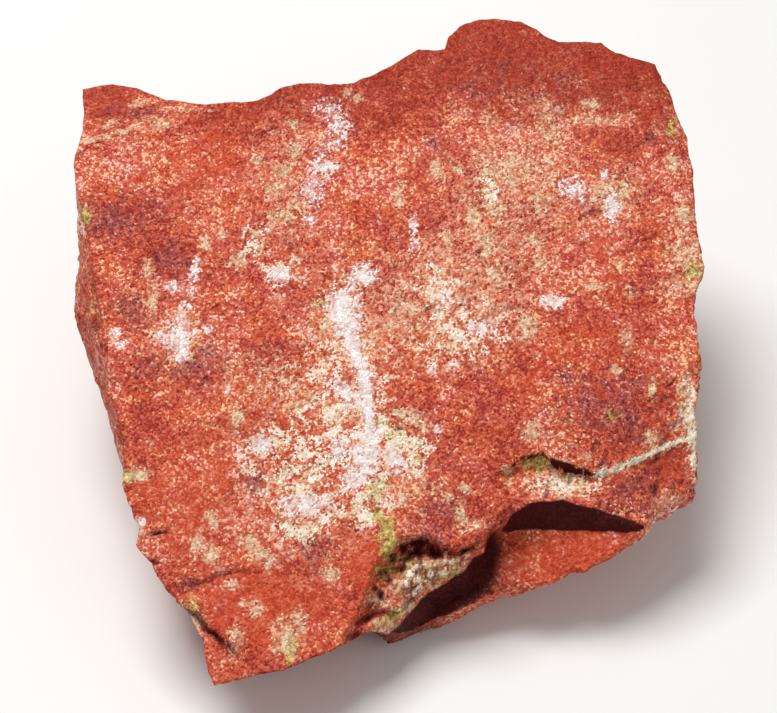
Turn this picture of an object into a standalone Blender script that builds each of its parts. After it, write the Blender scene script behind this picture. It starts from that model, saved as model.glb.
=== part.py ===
"""Thulite: a broken hand piece of pink rock, resting on a small flat spot.

The stone is carved the way a block is knapped. Its outline, seen from straight above,
is drawn as a flat curve and raised into a block. The broad face and the smaller flats
are sawn off the top, the corner is bitten out, the underside is broken away, and the
skin is then roughened and cut flat where the stone stands.

Places are in millimetres: right of, behind and above the point on the floor that lies
under the middle of the broad face. Depths are taken straight down from the broad face.
"""

import math

import bmesh
import bpy
from mathutils import Matrix, Vector

MM = 0.001

STONE = "thulite"

# The broad face: how far it is tipped to the front and rolled, and how high its middle is
FACE_TILT = math.radians(22.0)
FACE_ROLL = math.radians(4.0)
FACE_HEIGHT = 24.5

# Where the point under the middle of the broad face lies from the middle of the stone
STANCE = (0.3, -3.7, 0.0)

# Outline of the stone from straight above, anticlockwise from its back right corner
BACK_RIM = [
    (36.1, 41.8), (30.7, 43.1), (28.7, 44.4), (23.2, 44.2), (20.5, 45.7), (17.9, 46.8),
    (15.2, 47.3), (12.5, 46.9), (9.7, 45.7), (8.1, 44.1), (7.6, 42.2), (4.0, 41.8),
    (-0.5, 39.0), (-4.1, 36.5), (-11.8, 35.8), (-14.5, 35.1), (-17.7, 33.3),
    (-23.5, 32.2), (-29.5, 32.6), (-33.5, 34.1), (-36.6, 34.3),
]
LEFT_RIM = [
    (-40.2, 33.2), (-40.1, 27.3), (-40.9, 24.2), (-40.3, 19.5), (-38.2, 11.6),
    (-36.5, 3.9), (-35.2, -4.8), (-32.8, -12.2), (-32.5, -17.6), (-30.5, -22.7),
    (-30.5, -24.6), (-28.4, -26.6), (-26.7, -29.6), (-24.9, -31.2), (-22.3, -34.9),
    (-21.4, -39.0),
]
FRONT_RIM = [(-20.7, -40.3), (-17.0, -39.1), (-12.3, -38.2), (-7.0, -35.7), (-2.6, -33.4)]
LEDGE_RIM = [
    (0.1, -29.5), (2.6, -26.5), (8.9, -25.4), (13.0, -24.1), (14.9, -23.6), (17.8, -24.1),
    (20.6, -23.9), (23.0, -22.7), (24.2, -23.3), (27.4, -21.9), (30.7, -19.4),
]
RIGHT_RIM = [
    (32.0, -18.9), (36.2, -15.4), (38.5, -13.7), (38.9, -4.7), (39.8, 3.6), (39.5, 9.8),
    (41.1, 13.8), (40.4, 18.2), (40.5, 22.3), (39.9, 31.5), (38.0, 37.2),
]
BLOCK_TOP = 55.0
BLOCK_BOTTOM = -15.0

# What wear takes off the edges, given back to the outline, whose half width is about this
EDGE_LOSS = 0.35
HALF_WIDTH = 41.0

# How the sides stray from straight down: the way a side goes, the place on the rim where
# it does so and how far round that place, and how far it has gone at each depth
STRAYS = {
    "left_swell": ((-1.0, 0.0), (-38.0, 10.5), (14.0, 9.0), [(0.0, 0.0), (9.0, 3.2), (22.0, 1.0)]),
    "right_layer": ((1.0, 0.0), (40.0, 5.0), (10.0, 4.0), [(3.0, 0.0), (5.5, 0.9), (20.0, 0.3)]),
    "back_parting": ((0.0, -1.0), (0.0, 40.0), (50.0, 14.0), [(9.0, 0.0), (10.5, 2.2), (30.0, 4.5)]),
    "front_tuck": ((0.1, 1.0), (-9.0, -38.0), (11.0, 8.0), [(0.0, 0.0), (12.0, 18.0)]),
    "corner_tuck": ((1.0, 0.2), (-34.0, -28.0), (12.0, 13.0), [(0.0, 0.0), (12.0, 6.0)]),
}

# Smaller flats on the broad face: a place in plan, and how far each leans off the broad
# face to the right and to the back
FACE_FLATS = {
    "corner_flat": ((-36.0, 28.3), (-0.06, 0.16)),
    "vein_flat": ((28.0, -14.5), (0.12, -0.12)),
    "right_flat": ((37.6, 30.5), (0.50, 0.10)),
}

# The bite out of the front right corner, whose floor is a sloping ledge
BITE_PLAN = [
    (0.1, -29.8), (4.5, -25.3), (9.6, -22.5), (12.2, -20.3), (14.2, -19.0), (16.5, -17.6),
    (22.1, -16.9), (27.4, -17.9), (31.0, -18.9), (33.0, -20.6), (30.0, -40.0), (0.0, -40.0),
]
LEDGE_PLACE = (18.4, -17.4, 11.6)
LEDGE_FACING = (-0.172, -0.483, 0.858)

# Chips knocked out of the broad face: the middle and size of the block that goes, its
# floors (a place, a depth, a lean) and its walls (a place, the way out round from the right)
CHIPS = {
    "strip": {
        "middle": (12.0, -34.0, 20.0),
        "size": 36.0,
        "floors": [((-2.1, -27.9), 0.0, (0.80, -0.42)), ((4.5, -25.3), 5.4, (0.05, -0.41))],
        "walls": [((6.7, -22.2), 112.0)],
    },
    "gash": {
        "middle": (19.0, -14.0, 22.0),
        "size": 16.0,
        "floors": [((16.0, -16.6), 0.0, (0.0, 0.70))],
        "walls": [((16.2, -13.7), 132.0), ((22.5, -12.3), 69.0)],
    },
}
HOLLOW_PLACE = (4.6, -23.6)
HOLLOW_DEPTH = 4.2
HOLLOW_RADII = (5.0, 2.4, 2.2)

# Undersides broken away: a place on each, then the way it faces round from the right
# and its slope from the level, in degrees
UNDERSIDES = {
    "left_front": ((-27.0, -27.0, 9.0), 203.0, 50.0),
    "left": ((-41.0, 8.0, 15.0), 176.0, 52.0),
    "back_left": ((-34.0, 30.0, 12.0), 130.0, 50.0),
    "back": ((6.0, 42.0, 12.0), 86.0, 55.0),
    "back_right": ((36.0, 36.0, 15.0), 40.0, 52.0),
    "right": ((40.5, 2.0, 12.0), -6.0, 54.0),
    "front_right": ((37.0, -16.6, 13.1), -44.0, 40.0),
    "under_ledge": ((15.0, -23.6, 5.5), -45.0, 34.0),
    "under_front": ((-12.3, -38.2, 7.4), -90.0, 45.0),
    "low_front": ((2.0, -16.0, 0.0), -92.0, 8.5),
    "low_right": ((21.0, 8.0, 0.0), -12.0, 24.0),
    "low_back_right": ((17.0, 25.0, 0.0), 48.0, 27.0),
    "low_back": ((-2.0, 30.0, 0.0), 98.0, 22.0),
    "low_left": ((-19.0, 12.0, 0.0), 172.0, 25.0),
    "low_front_left": ((-15.0, -8.0, 0.0), 224.0, 13.0),
}

# Skin
SKIN_STEP = 0.55
WEAR_ROUNDS = 2
LUMP_SIZE = 9.0
LUMP_HEIGHT = 1.0
GRIT_SIZE = 3.5
GRIT_HEIGHT = 0.6
FACE_CALM = 0.25
SKIN_TRIANGLES = 9300

# Finish
PINK = (0.55, 0.13, 0.09, 1.0)
ROUGHNESS = 0.62


def smoothstep(start, end, value):
    """Ease from 0 at start to 1 at end."""
    share = min(max((value - start) / (end - start), 0.0), 1.0)
    return share * share * (3.0 - 2.0 * share)


def bell(value, middle, reach):
    """A soft hump of height 1 round its middle."""
    return math.exp(-(((value - middle) / reach) ** 2))


def face_turn():
    """Turn that brings a level face to the lie of the broad face."""
    return Matrix.Rotation(FACE_TILT, 3, "X") @ Matrix.Rotation(FACE_ROLL, 3, "Y")


def face_normal(lean=(0.0, 0.0)):
    """The way a flat faces when it leans off the broad face to the right and to the back."""
    return (face_turn() @ Vector((lean[0], lean[1], 1.0))).normalized()


def face_point(x, y, depth=0.0):
    """The place straight under a plan point, at a depth below the broad face, in metres."""
    normal = face_normal()
    height = FACE_HEIGHT - (normal.x * x + normal.y * y) / normal.z - depth
    return Vector((x, y, height)) * MM


def facing(turn, slope):
    """Outward direction of a flat from the way it faces and its slope, in degrees."""
    around, down = math.radians(turn), math.radians(slope)
    return Vector((
        math.sin(down) * math.cos(around),
        math.sin(down) * math.sin(around),
        -math.cos(down),
    ))


def far_gone(stops, depth):
    """How far a side has gone at a depth, in straight runs between its stops."""
    far = stops[0][1]
    for (above, far_above), (below, far_below) in zip(stops, stops[1:]):
        share = min(max((depth - above) / (below - above), 0.0), 1.0)
        far += (far_below - far_above) * share
    return far


def stray(x, y, depth):
    """How far the side under a rim point has moved right and back at a depth."""
    moved = Vector((0.0, 0.0))
    for way, (middle_x, middle_y), (reach_x, reach_y), stops in STRAYS.values():
        near = bell(x, middle_x, reach_x) * bell(y, middle_y, reach_y)
        moved += Vector(way) * near * far_gone(stops, depth)
    return moved


def cut_flat(mesh, place, normal, keep_all=False):
    """Saw through at a plane, drop what lies beyond it and close the cut."""
    cut = bmesh.ops.bisect_plane(
        mesh,
        geom=mesh.verts[:] + mesh.edges[:] + mesh.faces[:],
        dist=1e-7,
        plane_co=place,
        plane_no=normal,
        clear_outer=not keep_all,
    )
    rim = [item for item in cut["geom_cut"] if isinstance(item, bmesh.types.BMEdge)]
    if rim and not keep_all:
        bmesh.ops.holes_fill(mesh, edges=rim, sides=0)


def new_collection(name, hidden=False):
    """A collection in the scene."""
    collection = bpy.data.collections.new(name)
    bpy.context.scene.collection.children.link(collection)
    collection.hide_render = hidden
    return collection


def new_object(name, mesh, collection):
    """An object in a collection from a bmesh, which is freed."""
    bmesh.ops.recalc_face_normals(mesh, faces=mesh.faces[:])
    data = bpy.data.meshes.new(name)
    mesh.to_mesh(data)
    mesh.free()
    item = bpy.data.objects.new(name, data)
    collection.objects.link(item)
    return item


def as_evaluated(item):
    """A bmesh of an object as its modifiers leave it."""
    bpy.context.view_layer.update()
    graph = bpy.context.evaluated_depsgraph_get()
    data = bpy.data.meshes.new_from_object(item.evaluated_get(graph))
    mesh = bmesh.new()
    mesh.from_mesh(data)
    bpy.data.meshes.remove(data)
    return mesh


def raised_outline(outline, bottom, top):
    """A bmesh of a flat outline raised from one height to another, in millimetres."""
    curve = bpy.data.curves.new("outline", "CURVE")
    curve.dimensions = "2D"
    curve.fill_mode = "BOTH"
    curve.extrude = (top - bottom) / 2.0 * MM
    spline = curve.splines.new("POLY")
    spline.points.add(len(outline) - 1)
    for point, (x, y) in zip(spline.points, outline):
        point.co = (x * MM, y * MM, 0.0, 1.0)
    spline.use_cyclic_u = True
    item = bpy.data.objects.new("outline", curve)
    bpy.context.scene.collection.objects.link(item)
    mesh = as_evaluated(item)
    bpy.data.objects.remove(item)
    bmesh.ops.remove_doubles(mesh, verts=mesh.verts[:], dist=1e-6)
    bmesh.ops.translate(mesh, verts=mesh.verts[:], vec=(0.0, 0.0, (top + bottom) / 2.0 * MM))
    return mesh


def make_block(collection):
    """The block under the outline, with its sides swollen or tucked, and its top sawn."""
    outline = BACK_RIM + LEFT_RIM + FRONT_RIM + LEDGE_RIM + RIGHT_RIM
    growth = 1.0 + EDGE_LOSS / HALF_WIDTH
    grown = [(x * growth, y * growth) for x, y in outline]
    mesh = raised_outline(grown, BLOCK_BOTTOM, BLOCK_TOP)
    depths = {depth for *_, stops in STRAYS.values() for depth, _ in stops}
    for depth in sorted(depths - {0.0}):
        cut_flat(mesh, face_point(0.0, 0.0, depth), face_normal(), keep_all=True)
    cut_flat(mesh, face_point(0.0, 0.0), face_normal())
    for vert in mesh.verts:
        x, y = vert.co.x / MM, vert.co.y / MM
        depth = (face_point(x, y) - vert.co).z / MM
        vert.co.xy += stray(x, y, depth) * MM
    for (x, y), lean in FACE_FLATS.values():
        cut_flat(mesh, face_point(x, y), face_normal(lean))
    for place, turn, slope in UNDERSIDES.values():
        cut_flat(mesh, Vector(place) * MM, facing(turn, slope))
    return new_object(STONE, mesh, collection)


def make_bite(collection):
    """What is missing at the front right corner: everything above the ledge."""
    mesh = raised_outline(BITE_PLAN, BLOCK_BOTTOM, BLOCK_TOP)
    cut_flat(mesh, Vector(LEDGE_PLACE) * MM, -Vector(LEDGE_FACING))
    return new_object("bite", mesh, collection)


def make_chip(name, chip, collection):
    """A chip: a cube that is sawn to its floors and walls."""
    mesh = bmesh.new()
    bmesh.ops.create_cube(mesh, size=chip["size"] * MM)
    bmesh.ops.translate(mesh, verts=mesh.verts[:], vec=Vector(chip["middle"]) * MM)
    for (x, y), depth, lean in chip["floors"]:
        cut_flat(mesh, face_point(x, y, depth), -face_normal(lean))
    for (x, y), turn in chip["walls"]:
        cut_flat(mesh, face_point(x, y), facing(turn, 90.0))
    return new_object(name, mesh, collection)


def make_hollow(collection):
    """The dark hollow under the lip of the strip."""
    mesh = bmesh.new()
    bmesh.ops.create_icosphere(mesh, subdivisions=3, radius=1.0)
    bmesh.ops.scale(mesh, verts=mesh.verts[:], vec=Vector(HOLLOW_RADII) * MM)
    bmesh.ops.translate(mesh, verts=mesh.verts[:], vec=face_point(*HOLLOW_PLACE, HOLLOW_DEPTH))
    return new_object("hollow", mesh, collection)


def take_away(stone, cutter):
    """Cut a chip out of the stone."""
    cutter.hide_render = True
    cutter.display_type = "WIRE"
    cut = stone.modifiers.new(cutter.name, "BOOLEAN")
    cut.operation = "DIFFERENCE"
    cut.solver = "EXACT"
    cut.object = cutter


def replace_mesh(item, mesh):
    """Give an object a new mesh and no modifiers."""
    item.modifiers.clear()
    mesh.to_mesh(item.data)
    mesh.free()


def even_skin(stone):
    """Wrap the carved block in an even skin of small faces."""
    skin = stone.modifiers.new("even_skin", "REMESH")
    skin.mode = "VOXEL"
    skin.voxel_size = SKIN_STEP * MM
    worn = stone.modifiers.new("worn_edges", "SMOOTH")
    worn.factor = 0.5
    worn.iterations = WEAR_ROUNDS
    replace_mesh(stone, as_evaluated(stone))


def rough_group(stone):
    """Weights for the roughening: low on the broad face, full on the broken sides."""
    group = stone.vertex_groups.new(name="broken")
    broad = face_normal()
    for vert in stone.data.vertices:
        calm = smoothstep(0.80, 0.97, vert.normal.dot(broad))
        group.add([vert.index], 1.0 - (1.0 - FACE_CALM) * calm, "REPLACE")
    return group


def roughen(stone, name, size, height, group):
    """Raise and lower the skin by a cloudy pattern."""
    texture = bpy.data.textures.new(name, "CLOUDS")
    texture.noise_scale = size * MM
    texture.noise_depth = 2
    lumps = stone.modifiers.new(name, "DISPLACE")
    lumps.texture = texture
    lumps.texture_coords = "LOCAL"
    lumps.mid_level = 0.5
    lumps.strength = height * MM
    lumps.vertex_group = group.name


def thin_skin(stone):
    """Keep small faces only where the shape needs them."""
    triangles = sum(len(face.vertices) - 2 for face in stone.data.polygons)
    thin = stone.modifiers.new("thin_skin", "DECIMATE")
    thin.ratio = SKIN_TRIANGLES / triangles
    replace_mesh(stone, as_evaluated(stone))


def stand(stone):
    """Cut the stone flat where it stands and put its origin under its middle."""
    mesh = bmesh.new()
    mesh.from_mesh(stone.data)
    cut_flat(mesh, Vector((0.0, 0.0, 0.0)), Vector((0.0, 0.0, -1.0)))
    bmesh.ops.translate(mesh, verts=mesh.verts[:], vec=Vector(STANCE) * MM)
    bmesh.ops.remove_doubles(mesh, verts=mesh.verts[:], dist=0.05 * MM)
    bmesh.ops.triangulate(mesh, faces=mesh.faces[:])
    bmesh.ops.recalc_face_normals(mesh, faces=mesh.faces[:])
    replace_mesh(stone, mesh)


def finish(stone):
    """Pink granular rock."""
    material = bpy.data.materials.new("pink_rock")
    material.use_nodes = True
    shader = material.node_tree.nodes["Principled BSDF"]
    shader.inputs["Base Color"].default_value = PINK
    shader.inputs["Roughness"].default_value = ROUGHNESS
    shader.inputs["Metallic"].default_value = 0.0
    stone.data.materials.append(material)


def main():
    """Carve the stone."""
    for item in list(bpy.data.objects):
        bpy.data.objects.remove(item)
    parts = new_collection(STONE)
    cutters = new_collection("cutters", hidden=True)
    stone = make_block(parts)
    take_away(stone, make_bite(cutters))
    for name, chip in CHIPS.items():
        take_away(stone, make_chip(name, chip, cutters))
    take_away(stone, make_hollow(cutters))
    even_skin(stone)
    group = rough_group(stone)
    roughen(stone, "lumps", LUMP_SIZE, LUMP_HEIGHT, group)
    roughen(stone, "grit", GRIT_SIZE, GRIT_HEIGHT, group)
    thin_skin(stone)
    stand(stone)
    finish(stone)


main()
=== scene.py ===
"""Thulite: the finished skin of a broken hand piece of pink, sugary rock.

The stone is one closed skin. Its top is a height map over the broad face, the sides and
the underside are profiles swept round the stone, and all three share one rim. What is
only colour is a set of soft masks on the skin, which the rock's material breaks up; some
of these masks are painted shade and painted shadow.

Lengths are in millimetres until the mesh is made. Places on the broad face are given as
(right, up) from its middle, and places in plan as (right, back) from the point on the
floor under that middle.
"""

import logging
import math
from collections.abc import Sequence
from dataclasses import dataclass
from enum import Enum

import bpy
import numpy as np
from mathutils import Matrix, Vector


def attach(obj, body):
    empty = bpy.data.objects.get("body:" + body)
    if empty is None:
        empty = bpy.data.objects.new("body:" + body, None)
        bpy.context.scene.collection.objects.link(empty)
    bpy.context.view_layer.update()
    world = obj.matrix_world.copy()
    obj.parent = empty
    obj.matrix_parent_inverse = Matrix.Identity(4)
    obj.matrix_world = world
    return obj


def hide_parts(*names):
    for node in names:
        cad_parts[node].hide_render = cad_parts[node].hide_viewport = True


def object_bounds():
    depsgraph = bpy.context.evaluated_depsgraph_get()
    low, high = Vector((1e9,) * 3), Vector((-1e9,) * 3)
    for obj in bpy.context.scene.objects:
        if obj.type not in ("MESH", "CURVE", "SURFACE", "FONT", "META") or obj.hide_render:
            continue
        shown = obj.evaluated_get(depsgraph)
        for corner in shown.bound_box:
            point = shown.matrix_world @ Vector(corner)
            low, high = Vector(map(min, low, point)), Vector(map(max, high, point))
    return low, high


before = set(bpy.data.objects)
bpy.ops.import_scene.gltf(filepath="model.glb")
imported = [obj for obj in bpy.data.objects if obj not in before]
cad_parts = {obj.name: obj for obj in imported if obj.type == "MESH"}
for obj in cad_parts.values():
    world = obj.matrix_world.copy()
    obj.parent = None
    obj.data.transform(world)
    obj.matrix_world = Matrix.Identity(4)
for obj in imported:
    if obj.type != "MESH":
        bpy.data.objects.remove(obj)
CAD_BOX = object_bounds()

LOG = logging.getLogger("thulite")

MM = 0.001
STONE = "thulite"
SKIN = "thulite_skin"

# Where the point under the middle of the broad face lies from the middle of the stone
STANCE = np.array([0.3, -3.7, 0.0])

# Places, with heights or other values after them where a feature needs them
Points = Sequence[tuple[float, ...]]
# Two numbers: a place, or where an easing starts and ends
Pair = tuple[float, float]
# Three numbers: a place or a colour
Triple = tuple[float, float, float]
# Where a window starts, is full, fades and stops
Stops = tuple[float, float, float, float]

# Too small to see: added where a division by nothing could come up
TINY = 1e-9
SMALL = 1e-6
# Large odd numbers and shifts that mix a cell's place into bits which look random
CELL_STEPS = (73856093, 19349663, 83492791)
SEED_STEP = 2654435761
MIXERS = (0xFF51AFD7ED558CCD, 0xC4CEB9FE1A85EC53)
MIX_SHIFT = 33
DRAW_BITS = 21
# Steps between the seeds of one cloud's rounds
ROUND_STEP = 17
# Farther than any facet's seed can be, in facet widths
FAR_OFF = 9.0
# Heights that bring ripples and facets to about -1 to 1
RIPPLE_HEIGHT = 1.7
FACET_LEAN = 1.3
FACET_STEP = 0.8
# How steeply a mark's bell falls: it is about a half one size out from its middle
BELL = 0.65


class Tone(Enum):
    """Kinds of rock, soiling, painted shade and painted shadow that show in the skin, each with its own mask.
    """

    WHITE = "white"
    CREAM = "cream"
    CRUMB = "crumb"
    OLIVE = "olive"
    MAROON = "maroon"
    PALE = "pale"
    RED = "red"
    # Painted shade in cracks, hollows, gaps and under overhangs, with some soiling
    DARK = "dark"
    SHADOW = "shadow"
    # Calmer grain that is also darker: painted shade where the light falls off at the back
    CALM_AND_DIM = "calm_and_dim"


# Small tools for whole arrays


def smoothstep(start: float, end: float, value: np.ndarray) -> np.ndarray:
    """Ease from 0 at start to 1 at end: the share s between them, as s * s * (3 - 2 s)."""
    share = np.clip((value - start) / (end - start), 0.0, 1.0)
    return share * share * (3.0 - 2.0 * share)


def window(stops: Stops, value: np.ndarray) -> np.ndarray:
    """Ease from 0 to 1 between the first two stops, and back to 0 between the last two."""
    start, full, fade, stop = stops
    return smoothstep(start, full, value) * (1.0 - smoothstep(fade, stop, value))


def edged(inward: np.ndarray, blur: float) -> np.ndarray:
    """A half on an edge, evenly up to 1 at blur inside it and down to 0 at blur outside."""
    return 0.5 + 0.5 * np.clip(inward / blur, -1.0, 1.0)


def laid_flat(right: np.ndarray, up: np.ndarray) -> np.ndarray:
    """Places on the face, three coordinates to a row, the third of them 0."""
    return np.column_stack([right, up, np.zeros_like(right)])


def soft_min(first: np.ndarray, second: np.ndarray, blend: float) -> np.ndarray:
    """The lower of two heights, rounded where they cross.

    Formula: half the sum less half the root of the squared difference plus blend squared.
    """
    return 0.5 * (first + second - np.sqrt((first - second) ** 2 + blend * blend))


def scramble(cells: np.ndarray, seed: int) -> np.ndarray:
    """Three numbers from 0 to 1 for each cell of a lattice, which look random.

    Formula: the cell's whole coordinates times large odd numbers are added and mixed by
    shifts and products, and the bits are then dealt out to three numbers.

    Args:
        cells: whole coordinates, three to a row.
        seed: another seed gives other numbers.

    Returns:
        An array of the same shape.
    """
    shift, most = np.uint64(MIX_SHIFT), 2**DRAW_BITS - 1
    mixed = (cells.astype(np.int64) * np.array(CELL_STEPS)).sum(-1) + seed * SEED_STEP
    mixed = mixed.astype(np.uint64)
    for mixer in MIXERS:
        mixed = (mixed ^ (mixed >> shift)) * np.uint64(mixer)
    mixed = mixed ^ (mixed >> shift)
    parts = [(mixed >> np.uint64(DRAW_BITS * turn)) & np.uint64(most) for turn in range(3)]
    return np.stack(parts, -1).astype(float) / most


def ripple(points: np.ndarray, size: float, seed: int) -> np.ndarray:
    """Smooth waves about size long, from about -1 to 1.

    Formula: each corner of a lattice has a random slope, and the slopes of the eight
    corners round a point are blended by how near they are.

    Args:
        points: places, three coordinates to a row.
        size: length of a wave.
        seed: another seed gives other waves.

    Returns:
        One height for each place.
    """
    scaled = points / size
    corner = np.floor(scaled)
    inside = scaled - corner
    ease = inside**3 * (inside * (inside * 6.0 - 15.0) + 10.0)
    total = np.zeros(len(points))
    for step in np.ndindex(2, 2, 2):
        offset = np.array(step, float)
        slope = scramble(corner + offset, seed) * 2.0 - 1.0
        weight = np.where(offset > 0.5, ease, 1.0 - ease).prod(-1)
        total += weight * (slope * (inside - offset)).sum(-1)
    return total * RIPPLE_HEIGHT


def cloud(points: np.ndarray, size: float, rounds: int, seed: int, keep: float = 0.5) -> np.ndarray:
    """Ripples on ripples: each round is half as long as the last and keep times as high.

    Args:
        points: places, three coordinates to a row.
        size: length of the longest ripples.
        rounds: how many times ripples are added.
        seed: another seed gives other ripples.
        keep: how high each round is beside the one before.

    Returns:
        Heights, about -1 to 1 for the first round.
    """
    total = np.zeros(len(points))
    height = 1.0
    for turn in range(rounds):
        total += height * ripple(points, size / 2.0**turn, seed + ROUND_STEP * turn)
        height *= keep
    return total


@dataclass(frozen=True)
class Swell:
    """Clouds of one kind: their height, the length of their waves, their rounds and their keep."""

    height: float
    size: float
    rounds: int = 1
    keep: float = 0.5

    def at(self, points: np.ndarray, seed: int) -> np.ndarray:
        """Their height at each place."""
        return self.height * cloud(points, self.size, self.rounds, seed, self.keep)


@dataclass(frozen=True)
class Facets:
    """Facets of one kind: how high they stand and how wide they are."""

    height: float
    size: float

    def at(self, points: np.ndarray, seed: int) -> np.ndarray:
        """Their height at each place."""
        return self.height * chips(points, self.size, seed)[0]


def chips(points: np.ndarray, size: float, seed: int) -> tuple[np.ndarray, np.ndarray, np.ndarray]:
    """Flat facets about size wide, as on broken rock.

    Formula: space is shared out among random seeds, one in each cell of a lattice, and
    each share is a plane that leans its own way and has its own height.

    Args:
        points: places, three coordinates to a row.
        size: width of a facet.
        seed: another seed gives other facets.

    Returns:
        The height of the facets from about -1 to 1, the distance from the facet's seed
        and the distance to the border with the next facet, in facet widths.
    """
    scaled = points / size
    home = np.floor(scaled)
    nearest = np.full(len(points), FAR_OFF)
    second = np.full(len(points), FAR_OFF)
    height = np.zeros(len(points))
    for step in np.ndindex(3, 3, 3):
        cell = home + np.array(step, float) - 1.0
        away = scaled - cell - scramble(cell, seed)
        far = np.sqrt((away**2).sum(-1))
        lean = scramble(cell, seed + 5) * 2.0 - 1.0
        raised = (scramble(cell, seed + 9)[:, 0] - 0.5) * FACET_STEP
        closer = far < nearest
        second = np.where(closer, nearest, np.minimum(second, far))
        height = np.where(closer, (away * lean).sum(-1) * FACET_LEAN + raised, height)
        nearest = np.where(closer, far, nearest)
    return height, nearest, second - nearest


@dataclass(frozen=True)
class Line:
    """A broken line on the broad face, from the left to the right of a feature."""

    path: Points

    def measure(self, right: np.ndarray, up: np.ndarray) -> tuple[np.ndarray, np.ndarray, np.ndarray]:
        """How far places lie from the line and beside what part of it.

        Formula: each place is dropped onto every run of the line, and the nearest run
        gives the distance, the share of the length and the side.

        Args:
            right: places along the face.
            up: places up the face.

        Returns:
            The distance, the share of the line's length from 0 to 1, and the signed
            distance, above 0 on the right hand of one who goes along the line.
        """
        knots = np.array([point[:2] for point in self.path])
        start, run = knots[:-1], np.diff(knots, axis=0)
        length = np.hypot(run[:, 0], run[:, 1])
        before = np.concatenate([[0.0], np.cumsum(length)])
        away = np.stack([right, up], -1)[:, None, :] - start
        share = np.clip((away * run).sum(-1) / length**2, 0.0, 1.0)
        gap = away - share[..., None] * run
        far = np.hypot(gap[..., 0], gap[..., 1])
        best = far.argmin(1)
        rows = np.arange(len(far))
        along = (before[best] + share[rows, best] * length[best]) / before[-1]
        turn = away[rows, best, 0] * run[best, 1] - away[rows, best, 1] * run[best, 0]
        far = far[rows, best]
        return far, along, np.where(turn > 0.0, far, -far)

    def along(self, share: np.ndarray, column: int) -> np.ndarray:
        """The value in a column of the path at a share of the line's length.

        Args:
            share: shares of the line's length.
            column: which value of the path is asked for.

        Returns:
            The value at every share.
        """
        knots = np.array(self.path)
        length = np.hypot(*np.diff(knots[:, :2], axis=0).T)
        shares = np.concatenate([[0.0], np.cumsum(length)]) / length.sum()
        return np.interp(share, shares, knots[:, column])


@dataclass(frozen=True)
class BroadFace:
    """The broad, nearly flat face, tipped to the front and a little to the right.

    Places off the face are named by where they are seen on it by one who looks down at
    it, so a mark stays where it is seen whatever its depth. The eye is given to the
    right, up and out of the face.
    """

    tilt: float = math.radians(22.0)
    roll: float = math.radians(4.0)
    height: float = 24.5
    eye: Triple = (-17.5, -106.7, 250.7)

    def axes(self) -> np.ndarray:
        """Directions along the face to the right, up the face and out of it, in rows.

        Returns:
            The three directions.
        """
        lean, bank = self.tilt, self.roll
        tipped = np.array([
            [1.0, 0.0, 0.0],
            [0.0, math.cos(lean), -math.sin(lean)],
            [0.0, math.sin(lean), math.cos(lean)],
        ])
        rolled = np.array([
            [math.cos(bank), 0.0, math.sin(bank)],
            [0.0, 1.0, 0.0],
            [-math.sin(bank), 0.0, math.cos(bank)],
        ])
        return (tipped @ rolled).T

    def place(self, right: np.ndarray, up: np.ndarray, out: np.ndarray) -> np.ndarray:
        """Plan places and heights over the floor of places on or off the face.

        Formula: a place that is out off the face lies that share of the eye's own
        height along the straight way from where it is seen to the eye.

        Args:
            right: places along the face.
            up: places up the face.
            out: how far they are off the face.

        Returns:
            Places in plan and height, three to a row.
        """
        eye_right, eye_up, eye_out = self.eye
        share = out / eye_out
        local = np.stack([right + (eye_right - right) * share, up + (eye_up - up) * share, out], -1)
        return local @ self.axes() + np.array([0.0, 0.0, self.height])

    def seen(self, places: np.ndarray) -> np.ndarray:
        """Where places are seen on the face (right, up), and how far off it they are.

        Args:
            places: places in plan and height.

        Returns:
            Right, up and out, three to a row.
        """
        local = (places - np.array([0.0, 0.0, self.height])) @ self.axes().T
        eye = np.array(self.eye)
        stretch = eye[2] / (eye[2] - local[..., 2])
        flat = eye[:2] + (local[..., :2] - eye[:2]) * stretch[..., None]
        return np.concatenate([flat, local[..., 2:]], -1)

    def over(self, plan: np.ndarray) -> np.ndarray:
        """Height over the floor of the face above or below plan places."""
        normal = self.axes()[2]
        return self.height - (plan[..., :2] @ normal[:2]) / normal[2]


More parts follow.
